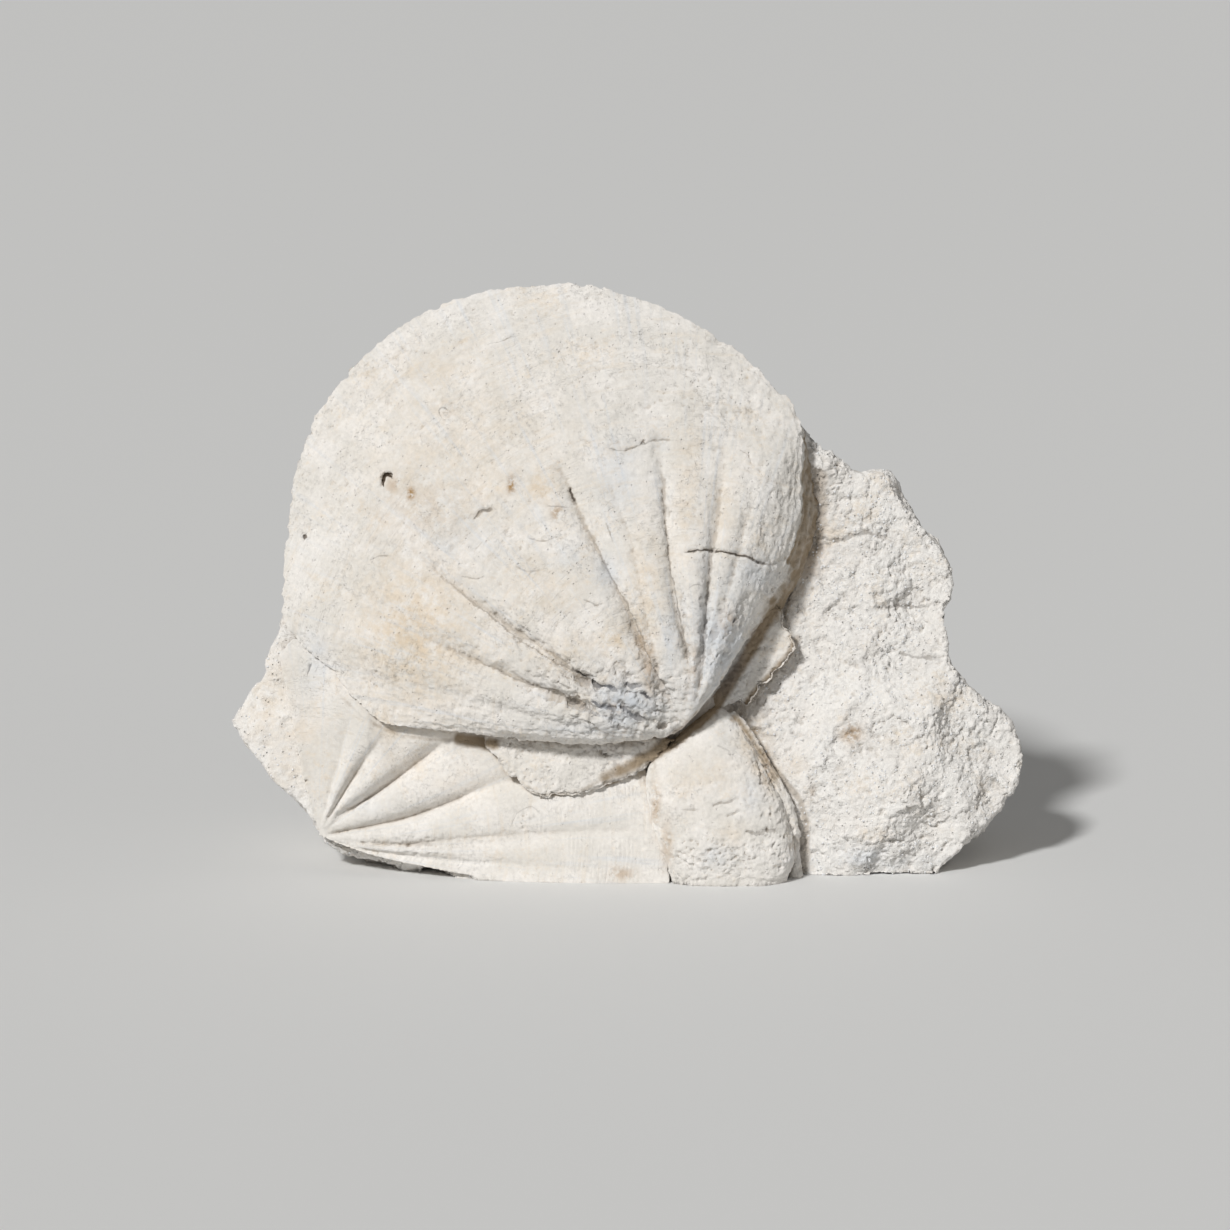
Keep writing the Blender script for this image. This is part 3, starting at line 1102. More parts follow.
def weather_tree():
    """Weathers a surface: soft lumps, flaked steps, pits and grains, stronger where it is painted rough."""
    nodes, given, result = geometry_tree(
        "Weathered stone", Smooth_share=0.2, Lump_size=0.012, Lump_height=0.0005, Flake_size=0.006,
        Flake_height=0.0005, Pit_size=0.003, Pit_depth=0.0006, Pit_share=0.4, Grain_size=0.0016,
        Grain_height=0.0002, Scale_size=0.005, Scale_height=0.0, Seed=0.0)
    start = nodes.combine(X=given["Seed"], Y=given["Seed"])
    place = nodes.vector("ADD", nodes.add("GeometryNodeInputPosition"), start)

    def per(size):
        return nodes.over(1.0, given[size])

    def cells(vector, scale):
        return nodes.add("ShaderNodeTexVoronoi", {"Vector": vector, "Scale": scale}, None)

    lump = nodes.times(nodes.swing(place, per("Lump size")), 2.0, given["Lump height"])
    flake = nodes.noise(place, per("Flake size"), 4.0, 0.6, 0.8)
    steps = nodes.plus(nodes.ramp(flake, 0.50, 0.535), nodes.ramp(flake, 0.60, 0.63))
    steps = nodes.times(nodes.minus(0.0, steps), given["Flake height"])
    shake = nodes.shake(place, nodes.times(per("Pit size"), 1.6), 2.0, nodes.times(given["Pit size"], 0.7))
    shaken = nodes.vector("ADD", place, shake)
    pits = cells(shaken, per("Pit size"))
    chosen = nodes.math("LESS_THAN", nodes.channel(pits["Color"], "Red"), given["Pit share"])
    pit = nodes.ramp(pits["Distance"], 0.42, 0.10)
    pit = nodes.times(pit, chosen, nodes.times(given["Pit depth"], -1.0))
    grain = nodes.times(nodes.swing(place, per("Grain size"), 2.0, 0.6), 2.0, given["Grain height"])
    kernels = cells(shaken, nodes.times(per("Grain size"), 0.8))
    kernel = nodes.minus(0.45, kernels["Distance"])
    kernel = nodes.times(kernel, nodes.channel(kernels["Color"], "Green"), given["Grain height"])
    grain = nodes.plus(grain, nodes.times(kernel, 2.6))
    shake = nodes.shake(place, nodes.times(per("Scale size"), 1.3), 3.0,
                        nodes.times(given["Scale size"], 1.1))
    scales = cells(nodes.vector("ADD", shaken, shake), per("Scale size"))
    drop = nodes.ramp(nodes.channel(scales["Color"], "Blue"), 0.25, 0.95)
    drop = nodes.minus(drop, nodes.times(scales["Distance"], 0.25))
    drop = nodes.times(drop, nodes.times(given["Scale height"], -1.0))
    rough = nodes.named("rough")
    drop = nodes.times(drop, nodes.ramp(rough, 0.12, 1.0))
    share = nodes.straight(rough, given["Smooth share"])
    fine = nodes.plus(nodes.times(steps, rough), pit, grain)
    finish_raised(nodes, given, result, nodes.plus(lump, drop, nodes.times(fine, share)))


def crumb_tree():
    """Scatters small broken crumbs over open rock."""
    nodes, given, result = geometry_tree(
        "Scattered crumbs", ("Seed", "int", 3), Density=90000.0, Size=0.0007, Smallest=0.4)
    density = nodes.times(given["Density"], nodes.named("crumbly"))
    spread = nodes.add("GeometryNodeDistributePointsOnFaces",
                       {"Mesh": given["Geometry"], "Density": density, "Seed": given["Seed"]}, "Points")
    ball = nodes.add("GeometryNodeMeshIcoSphere", {"Radius": 1.0, "Subdivisions": 1})
    turn = nodes.add("FunctionNodeRandomValue", {0: (0.0, 0.0, 0.0), 1: (6.28, 6.28, 6.28), 8: given["Seed"]},
                     data_type="FLOAT_VECTOR")
    least, most = nodes.times(given["Size"], given["Smallest"]), given["Size"]
    size = nodes.add("FunctionNodeRandomValue",
                     {0: nodes.combine(X=least, Y=least, Z=least), 1: nodes.combine(X=most, Y=most, Z=most),
                      8: nodes.plus(given["Seed"], 5.0)}, data_type="FLOAT_VECTOR")
    placed = nodes.add("GeometryNodeInstanceOnPoints",
                       {"Points": spread, "Instance": ball, "Rotation": turn, "Scale": size})
    finish_geometry(nodes, given, result, placed)


def hollow_tree():
    """Keeps on each point how hollow the surface is there, at two sizes, and smooths how sheltered it is."""
    nodes, given, result = geometry_tree(
        "Hollows", ("Narrow rounds", "int", 4), ("Wide rounds", "int", 24), ("Shelter rounds", "int", 3))
    place, normal = nodes.add("GeometryNodeInputPosition"), nodes.add("GeometryNodeInputNormal")

    def blurred(value, rounds, kind):
        return nodes.add("GeometryNodeBlurAttribute", {"Value": value, "Iterations": given[rounds]},
                         data_type=kind)

    def hollow(rounds):
        smooth = blurred(place, rounds, "FLOAT_VECTOR")
        return nodes.vector("DOT_PRODUCT", nodes.vector("SUBTRACT", smooth, place), normal, output="Value")

    kept = nodes.store(given["Geometry"], "hollow", hollow("Narrow rounds"))
    kept = nodes.store(kept, "hollow_wide", hollow("Wide rounds"))
    shelter = blurred(nodes.named("shelter"), "Shelter rounds", "FLOAT")
    finish_geometry(nodes, given, result, nodes.store(kept, "shelter", shelter))


# Materials --------------------------------------------------------------------


def chalk_group():
    """Shader group: mottled chalk with warm, cool and rusty patches broken up by noise."""
    nodes, given, result = shader_group("Chalk colour", (
        ("Vector", None), ("Ground", "colour"), ("Pale", "colour"), ("Warm", "colour"), ("Cool", "colour"),
        ("Rust", "colour"), ("Warm mask", 0.0), ("Cool mask", 0.0), ("Rust mask", 0.0),
        ("Mottle size", 0.014),
        ("Ray", 0.0), ("Reach", 0.0), ("Streaks", 0.0)), (("Color", "colour"),))
    place = given["Vector"]
    per = nodes.over(1.0, given["Mottle size"])
    broad = nodes.noise(place, per, 4.0, 0.6)
    other = nodes.noise(nodes.vector("ADD", place, (3.1, 1.7, 0.4)), nodes.times(per, 0.8), 5.0, 0.62)
    fine = nodes.noise(place, 700.0, 3.0, 0.6)
    blotch = nodes.noise(nodes.vector("ADD", place, (0.3, 2.2, 1.4)), 240.0, 5.0, 0.7)
    speckle = nodes.noise(place, 420.0, 6.0, 0.75)
    broad = nodes.plus(nodes.times(broad, 0.8), nodes.times(speckle, 0.2))
    colour = nodes.mix_colour(nodes.ramp(broad, 0.40, 0.62), given["Ground"], given["Pale"])
    faint_warm = nodes.times(nodes.ramp(nodes.times(nodes.plus(other, speckle), 0.5), 0.50, 0.66), 0.34)
    warm = nodes.times(given["Warm mask"], nodes.ramp(blotch, 0.30, 0.66))
    cool = nodes.times(given["Cool mask"], nodes.ramp(other, 0.35, 0.62))
    rust = nodes.times(given["Rust mask"], nodes.ramp(blotch, 0.38, 0.54))
    along = nodes.combine(X=given["Ray"], Y=nodes.times(given["Reach"], 0.06))
    streak = nodes.ramp(nodes.noise(along, 260.0, 3.0, 0.6), 0.52, 0.72)
    across = nodes.combine(X=nodes.times(given["Ray"], 0.10), Y=given["Reach"])
    band = nodes.ramp(nodes.noise(across, 330.0, 4.0, 0.6), 0.53, 0.72)
    for share, tint in (
            (nodes.most(faint_warm, nodes.times(warm, 0.75)), "Warm"), (nodes.times(cool, 0.85), "Cool"),
            (nodes.times(rust, 0.8), "Rust"), (nodes.times(streak, given["Streaks"]), "Cool"),
            (nodes.times(band, given["Streaks"], 0.5), "Warm")):
        colour = nodes.mix_colour(share, colour, given[tint])
    nodes.feed(result["Color"], nodes.vector("SCALE", colour, nodes.ramp(fine, 0.3, 0.7, 0.955, 1.02)))


def dirt_group():
    """Shader group: where soil stays, in hollows, in sheltered places and along furrows and cracks."""
    nodes, given, result = shader_group("Soil in hollows", (
        ("Vector", None), ("Hollow", 0.0), ("Hollow wide", 0.0), ("Shelter", 0.0), ("Furrow", 0.0),
        ("Furrow strength", 0.0), ("Crack", 0.0), ("Crack strength", 0.0), ("Amount", 1.0),
        ("Soil mask", 0.0),
    ), (("Soil", "float"), ("Dark", "float")))
    place = given["Vector"]
    patchy = nodes.noise(place, 260.0, 5.0, 0.65)
    uneven = nodes.times(nodes.minus(patchy, 0.5), 0.5)
    shelter = nodes.ramp(nodes.plus(given["Shelter"], uneven), 0.42, 0.95)
    routes = nodes.times(given["Soil mask"], nodes.plus(given["Shelter"], 0.55))
    routes = nodes.ramp(nodes.plus(routes, uneven), 0.28, 0.85)
    wide = nodes.ramp(given["Hollow wide"], 0.0004, 0.0020)
    fine = nodes.ramp(given["Hollow"], 0.00010, 0.00042)
    along = nodes.ramp(nodes.math("ABSOLUTE", given["Furrow"]), 0.0012, 0.0)
    along = nodes.times(along, given["Furrow strength"], nodes.ramp(patchy, 0.38, 0.66))
    wobble = nodes.times(nodes.swing(place, 600.0, 3.0), 2.4)
    crack = nodes.math("ABSOLUTE", nodes.plus(given["Crack"], wobble))
    crack = nodes.times(nodes.ramp(crack, 0.95, 0.50), given["Crack strength"],
                        nodes.ramp(patchy, 0.28, 0.48, 0.55, 1.0))
    soil = nodes.most(nodes.times(shelter, 0.75), nodes.times(routes, 0.9), nodes.times(wide, 0.22),
                      nodes.times(fine, 0.34), nodes.times(along, 0.5))
    nodes.feed(result["Soil"], nodes.math("MULTIPLY", soil, given["Amount"], clamp=True))
    nodes.feed(result["Dark"], crack)


def grain_group():
    """Shader group: the fine tooth of chalk as a bump, with pin pricks, and its roughness."""
    nodes, given, result = shader_group("Chalk grain", (
        ("Vector", None), ("Grain size", 0.0006), ("Grain height", 0.00012), ("Pricks", 0.3),
        ("Rough mask", 0.5),
        ("Chips", 1.0), ("Arcs", 0.0), ("Ray", 0.0), ("Reach", 0.0)),
        (("Normal", "vector"), ("Roughness", "float")))
    place = given["Vector"]
    per = nodes.over(1.0, given["Grain size"])
    tooth = nodes.noise(place, per, 4.0, 0.65)
    coarse = nodes.noise(place, nodes.times(per, 0.35), 3.0, 0.55)
    cells = nodes.add("ShaderNodeTexVoronoi", {"Vector": place, "Scale": nodes.times(per, 0.55)})
    gate = nodes.ramp(nodes.noise(place, 330.0, 2.0), 0.52, 0.62)
    prick = nodes.times(nodes.ramp(cells, 0.30, 0.05), gate, given["Pricks"])
    amount = nodes.straight(given["Rough mask"], 0.45)
    large_chip = nodes.ramp(nodes.noise(place, 230.0, 6.0, 0.62), 0.555, 0.575)
    elsewhere = nodes.vector("ADD", place, (1.0, 2.0, 3.0))
    small_chip = nodes.ramp(nodes.noise(elsewhere, 520.0, 5.0, 0.62), 0.58, 0.605)
    worn = nodes.ramp(nodes.noise(place, 48.0, 3.0), 0.40, 0.62, 0.25, 1.0)
    chips = nodes.plus(nodes.times(large_chip, 0.6), nodes.times(small_chip, 0.8))
    chips = nodes.times(chips, worn, given["Chips"])
    along = nodes.combine(X=nodes.times(given["Ray"], 0.09), Y=given["Reach"])
    arcs = nodes.ramp(nodes.noise(along, 480.0, 4.0, 0.6), 0.50, 0.62)
    arcs = nodes.times(arcs, given["Arcs"], nodes.ramp(nodes.noise(place, 36.0, 2.0), 0.42, 0.6))
    height = nodes.times(nodes.plus(nodes.times(tooth, 0.6), coarse), amount)
    height = nodes.minus(nodes.minus(height, prick), nodes.plus(chips, arcs))
    normal = nodes.add("ShaderNodeBump", {"Strength": 1.0, "Distance": given["Grain height"],
                                          "Height": height})
    nodes.feed(result["Normal"], normal)
    nodes.feed(result["Roughness"], nodes.ramp(tooth, 0.3, 0.7, 0.86, 0.98))


def stone_material(name, ground, mottle, grain_size, grain_height, pricks, soil_amount, streaks, chips):
    """Dull chalk, with soil in its hollows, charcoal in its cracks and pits, and its own grain."""
    material = bpy.data.materials.new(name)
    material.use_nodes = True
    nodes = NodeBuilder(material.node_tree)
    shader = material.node_tree.nodes["Principled BSDF"]
    place = nodes.add("ShaderNodeMapping", {
        "Vector": nodes.add("ShaderNodeTexCoord", output="Object"), "Location": RELIEF_ORIGIN,
        "Rotation": (math.radians(90 - LEAN), 0.0, 0.0)}, vector_type="TEXTURE")

    def rgb(key):
        return (*getattr(bpy.context.scene.fossil_colours, key), 1.0)

    def group(key, inputs, *painted):
        """Adds a shader group. The inputs named last are fed from the painted attribute of the same name."""
        inputs = {"Vector": place, **inputs, **{label: nodes.painted(label.lower().replace(" ", "_"))
                                                for label in painted}}
        return nodes.add("ShaderNodeGroup", inputs, None, node_tree=bpy.data.node_groups[key])

    chalk = group(
        "Chalk colour",
        {"Ground": rgb(ground), **{key.title(): rgb(key) for key in ("pale", "warm", "cool", "rust")},
         "Warm mask": nodes.painted("warm"), "Cool mask": nodes.painted("cool"),
         "Rust mask": nodes.painted("rust"),
         "Mottle size": mottle, "Streaks": streaks}, "Ray", "Reach")
    soil = group(
        "Soil in hollows", {"Amount": soil_amount, "Soil mask": nodes.painted("soil")},
        "Hollow", "Hollow wide", "Shelter", "Furrow", "Furrow strength", "Crack", "Crack strength")
    grain = group(
        "Chalk grain",
        {"Grain size": grain_size, "Grain height": grain_height, "Pricks": pricks, "Chips": chips,
         "Rough mask": nodes.painted("rough"), "Arcs": streaks * 0.7}, "Ray", "Reach")
    coolness = nodes.ramp(nodes.painted("cool"), 0.3, 0.8)
    silt = nodes.mix_colour(nodes.times(coolness, 0.6), rgb("dirt"), rgb("slate"))
    colour = nodes.mix_colour(soil["Soil"], chalk["Color"], silt)
    pit = nodes.mix_colour(coolness, rgb("charcoal"), rgb("slate"))
    colour = nodes.mix_colour(nodes.times(soil["Dark"], 0.95), colour, pit)
    for label, value in {"Base Color": colour, "Normal": grain["Normal"], "Roughness": grain["Roughness"],
                         "Specular IOR Level": 0.25, "Diffuse Roughness": 0.6}.items():
        nodes.feed(shader.inputs[label], value)


TREES = (furrow_tree, growth_tree, weather_tree, crumb_tree, hollow_tree, chalk_group, dirt_group,
         grain_group)
# Each material: its ground colour, then the numbers of stone_material in their order.
STONES = {
    "Large shell chalk": ("chalk", 0.016, 0.00085, 0.00055, 0.9, 1.0, 0.35, 0.32),
    "Small shell chalk": ("chalk", 0.020, 0.00080, 0.00040, 0.6, 1.0, 0.35, 0.38),
    "Oyster chalk": ("chalk", 0.012, 0.00085, 0.00050, 0.7, 1.0, 0.0, 0.40),
    "Limestone": ("rock", 0.012, 0.00085, 0.00105, 0.9, 0.50, 0.0, 0.16),
}


def prepare():
    """Builds the node groups and the materials once."""
    if "Weathered stone" in bpy.data.node_groups:
        return
    for build in TREES:
        build()
    for name, numbers in STONES.items():
        stone_material(name, *numbers)


def carve(obj, lines, depth, sharpness, wander, kept, material):
    """Sinks a network of lines into a piece. The distance to a crack is kept in its own half widths."""
    network = line_network(f"{obj.name}_{kept}_lines", lines)
    add_tree(obj, "Furrows along lines", Lines=network, Depth=depth, Sharpness=sharpness, Wander=wander,
             In_widths=float(kept == "crack"), Distance_name=kept, Strength_name=f"{kept}_strength",
             Material=material)
    return network


def finish_shape(obj, networks):
    """Settles a piece's trees and takes away the lines that they read."""
    settle(obj)
    for network in networks:
        bpy.data.objects.remove(network)
    obj.data.shade_smooth()
    return obj


def smooth_step(value, low, high):
    t = np.clip((value - low) / (high - low), 0, 1)
    return t * t * (3 - 2 * t)


def ear_solid(name, outline, drop, seed):
    """One ear of the large valve: a thin slab with a ragged edge that lies a little under the rim."""
    corners = np.array(outline, float)
    following = np.roll(corners, -1, axis=0)
    ring = []
    for start, end in zip(corners, following):
        count = max(2, int(np.linalg.norm(end - start) / LINE_STEP))
        ring.extend(start + (end - start) * t for t in np.arange(count) / count)
    ring = np.array(ring)
    for _ in range(3):
        ring = (np.roll(ring, 1, axis=0) + 2 * ring + np.roll(ring, -1, axis=0)) / 4
    along = np.roll(ring, -1, axis=0) - np.roll(ring, 1, axis=0)
    area = np.sum(ring[:, 0] * np.roll(ring[:, 1], -1) - np.roll(ring[:, 0], -1) * ring[:, 1])
    outward = np.column_stack((along[:, 1], -along[:, 0])) * math.copysign(1, area)
    outward /= np.linalg.norm(outward, axis=1, keepdims=True)
    ring = ring - outward * bites(ring[:, 0], ring[:, 1], 0.0018, seed)[:, None]
    levels = ((0.0, -0.0012), (0.0010, -0.0002), (0.0024, 0.0), (0.0050, -0.0004), (0.0125, -0.0010))
    points, faces, count = [], [], len(ring)
    for down, out in levels:
        place = ring + outward * out
        z = plane_height(LARGE_RIM, place[:, 0], place[:, 1]) - drop - down
        points.extend(zip(place[:, 0], place[:, 1], z))
    for level in range(len(levels) - 1):
        top, low = level * count, (level + 1) * count
        faces += [(top + i, low + i, low + (i + 1) % count, top + (i + 1) % count) for i in range(count)]
    faces.append(tuple(reversed(range(count))))
    faces.append(tuple(range((len(levels) - 1) * count, len(levels) * count)))
    obj = new_piece(name, points, faces)
    face_outward(obj.data)
    return obj


def block_face_height(x, y):
    """Height of the block's face: a blend of the known heights, with a bed rising to the large valve."""
    known = np.array(BLOCK_FACE, float)
    apart = (x[:, None] - known[:, 0]) ** 2 + (y[:, None] - known[:, 1]) ** 2
    nearest = apart.min(axis=1, keepdims=True)
    weight = np.exp(-(apart - nearest) / (2 * BLOCK_FACE_BLUR**2))
    face = (weight * known[:, 2]).sum(axis=1) / weight.sum(axis=1)
    outside = distance_outside(x, y, fan_outline(LARGE_FAN))
    bed = plane_height(LARGE_UNDERSIDE, x, y) - BED_DROP - BED_SLOPE * outside
    return np.maximum(face, bed)


def shape_block(points):
    """Moves the points of the plain slab to the block's face and back, narrower towards the back."""
    x, y = points[:, 0], points[:, 1]
    depth = np.clip(points[:, 2] / BLOCK_SLAB + 0.5, 0, 1)
    face = block_face_height(x, y)
    along_x = np.sin(x / BACK_WAVE[0] + BACK_WAVE_START[0])
    along_y = np.cos(y / BACK_WAVE[1] + BACK_WAVE_START[1])
    back = plane_height(BLOCK_BACK, x, y) + BACK_SWELL * along_x * along_y
    shrink = 1 - BLOCK_TAPER * (1 - depth) ** 2
    return np.column_stack((
        BLOCK_MIDDLE[0] + (x - BLOCK_MIDDLE[0]) * shrink,
        np.where(y > BLOCK_MIDDLE[1], BLOCK_MIDDLE[1] + (y - BLOCK_MIDDLE[1]) * shrink, y),
        back + (face - back) * depth,
    ))


def chip(place):
    """Height of the broken facet at a place: the rock around each seed broke along its own leaning plane."""
    seed = noise.voronoi(place / CHIP_SIZE)[1][0]
    lean = Vector([noise.noise(seed * CHIP_SEED + shift) for shift in CHIP_SHIFTS]) * CHIP_TILT
    return (place - seed * CHIP_SIZE).dot(lean)


def break_block(obj, share):
    """Pushes the rock in and out by a share of its broken facets and of its (size, height) of lumps."""
    points, facing = positions(obj), normals(obj)
    rise = []
    for point in points:
        place = Vector(point)
        lumps = sum(height * noise.noise(place / size) for size, height in BLOCK_LUMPS)
        rise.append(lumps + chip(place))
    move_to(obj, points + facing * (np.array(rise) * share)[:, None])


# Operators --------------------------------------------------------------------


class FOSSIL_OT_large_valve(bpy.types.Operator):
    """Build the large scallop's ribbed valve"""

    bl_idname = "fossil.large_valve"
    bl_label = "Large valve"

    def execute(self, context):
        prepare()
        shape = context.scene.fossil_shape

        def wall(rim):
            share, angle = fan_position(LARGE_FAN, rim[:, 0], rim[:, 1])
            right = smooth_step(share, 0.35, 0.85) * (1 - smooth_step(angle, 60.0, 74.0))
            inward = -LARGE_WALL_LEAN * smooth_step(share, 0.05, 0.4)
            return inward * (1 - right) + RIGHT_FLANK_FOOT * right, RIGHT_FLANK_BULGE * right

        obj = shell_solid("large_valve", LARGE_FAN, large_valve_height, LARGE_UNDERSIDE, wall, 420, 80, 1,
                          shape.margin_bites)
        remesh(obj, shape.shell_detail)
        cap_flat_underside(obj, LARGE_UNDERSIDE)
        points = positions(obj)
        share, angle = fan_position(LARGE_FAN, points[:, 0], points[:, 1])
        edge = -beyond(LARGE_FAN, points, 160)
        paint_patches(obj, 0.30)
        x, y = points[:, 0], points[:, 1]
        outer = smooth_step(share, 1.0, 1.02) * smooth_step(x, 0.045, 0.055) * smooth_step(y, 0.175, 0.155)
        right, top = smooth_step(x, 0.040, 0.052), smooth_step(y, 0.12, 0.17)
        low = smooth_step(y, 0.075, 0.060) * smooth_step(x, 0.0, -0.02)
        paint_all(obj, reach=share * smooth_through(LARGE_MARGIN, angle),
                  ray=np.radians(angle) * LARGE_RAY_WIDTH,
                  soil=np.maximum(soil_mask(seen(points), np.ones(len(points))), 0.9 * outer),
                  from_edge=np.clip(edge, 0, 1), layers=np.clip(right + low * 0.8 + 0.25, 0, 1),
                  growth=np.clip(0.35 + top * 0.8, 0, 1) * smooth_step(share, 0.2, 0.5))
        material = bpy.data.materials["Large shell chalk"]
        networks = [carve(obj, LARGE_FURROWS, shape.furrow_depth, 1.15, 0.0012, "furrow", material)]
        add_tree(obj, "Growth lines", Spacing=shape.growth_spacing, Height=shape.growth_height, Bend=0.004,
                 Layer_spacing=0.0023, Layer_height=0.0004, Layer_reach=0.009, Terrace_spacing=0.013,
                 Terrace_height=0.0006, Streak_height=0.0005, Material=material)
        networks.append(carve(obj, LARGE_MARKS, 1.0, 2.0, 0.0018, "crack", material))
        add_tree(obj, "Weathered stone", Smooth_share=0.35, Lump_size=0.014, Lump_height=0.0006,
                 Flake_size=0.0075, Flake_height=0.0006, Pit_size=0.0034, Pit_depth=0.0006, Pit_share=0.30,
                 Grain_size=0.0019, Grain_height=0.00048, Scale_size=0.0036, Scale_height=0.0009, Seed=0.13,
                 Material=material)
        finish_shape(obj, networks)
        return {"FINISHED"}


class FOSSIL_OT_ears(bpy.types.Operator):
    """Build the two ears of the large scallop"""

    bl_idname = "fossil.ears"
    bl_label = "Ears"

    def execute(self, context):
        prepare()
        shape = context.scene.fossil_shape
        material = bpy.data.materials["Large shell chalk"]
        for name, outline, drop, marks, seed in (
            ("lower_ear", LOWER_EAR, LOWER_EAR_DROP, LOWER_EAR_MARKS, 11),
            ("upper_ear", UPPER_EAR, UPPER_EAR_DROP, LOWER_EAR_MARKS, 19),
        ):
            obj = ear_solid(name, outline, drop, seed)
            remesh(obj, shape.small_detail * 0.9)
            points = positions(obj)
            if name == "upper_ear":
                away = points[:, 0] - np.interp(points[:, 1], [0.055, 0.10], [0.030, 0.052])
                points[:, 2] -= 0.0025 * smooth_step(away, 0.002, 0.012) * (normals(obj)[:, 2] > 0.2)
            else:
                across = points[:, 1] - np.interp(points[:, 0], [-0.05, 0.018], [0.030, 0.040])
                lift = 0.0012 - 0.30 * np.clip(0.004 - across, 0, 0.01)
                points[:, 2] += lift * (normals(obj)[:, 2] > 0.2)
            move_to(obj, points)
            paint_patches(obj, 0.75)
            networks = [carve(obj, marks, 1.0, 2.0, 0.0006, "crack", material)]
            add_tree(obj, "Weathered stone", Smooth_share=0.3, Lump_size=0.007, Lump_height=0.0008,
                     Flake_size=0.005, Flake_height=0.0005, Pit_size=0.0022, Pit_depth=0.0006,
                     Pit_share=0.4, Grain_size=0.0013, Grain_height=0.0004, Seed=0.31, Material=material)
            finish_shape(obj, networks)
        return {"FINISHED"}


class FOSSIL_OT_small_valve(bpy.types.Operator):
    """Build the small scallop's valve"""

    bl_idname = "fossil.small_valve"
    bl_label = "Small valve"

    def execute(self, context):
        prepare()
        shape = context.scene.fossil_shape

        def wall(rim):
            return np.full(len(rim), -SMALL_WALL_LEAN), np.zeros(len(rim))

        obj = shell_solid("small_valve", SMALL_FAN, small_valve_height, SMALL_UNDERSIDE, wall, 300, 70, 3,
                          shape.margin_bites * 0.6)
        remesh(obj, shape.small_detail)
        cap_flat_underside(obj, SMALL_UNDERSIDE)
        cut_at_floor(obj)
        points = positions(obj)
        share, angle = fan_position(SMALL_FAN, points[:, 0], points[:, 1])
        paint_patches(obj, 0.04)
        lines = smooth_step(share, 0.55, 0.8) * smooth_step(angle, 22, 4)
        paint_all(obj, reach=share * smooth_through(SMALL_FAN[1], angle),
                  ray=np.radians(angle) * SMALL_RAY_WIDTH,
                  from_edge=FAR_FROM_EDGE, layers=0.0, growth=np.clip(0.12 + lines, 0, 1))
        material = bpy.data.materials["Small shell chalk"]
        networks = [carve(obj, SMALL_FURROWS, shape.furrow_depth * 0.8, 1.2, 0.0008, "furrow", material)]
        add_tree(obj, "Growth lines", Spacing=0.0014, Height=0.00042, Bend=0.002, Layer_height=0.0,
                 Streak_height=0.0004, Material=material)
        networks.append(carve(obj, SMALL_MARKS, 1.0, 2.0, 0.0008, "crack", material))
        add_tree(obj, "Weathered stone", Smooth_share=0.10, Lump_size=0.018, Lump_height=0.0004,
                 Flake_size=0.005, Flake_height=0.0005, Pit_size=0.0026, Pit_depth=0.0007, Pit_share=0.4,
                 Grain_size=0.0014, Grain_height=0.0003, Seed=0.57, Material=material)
        finish_shape(obj, networks)
        return {"FINISHED"}


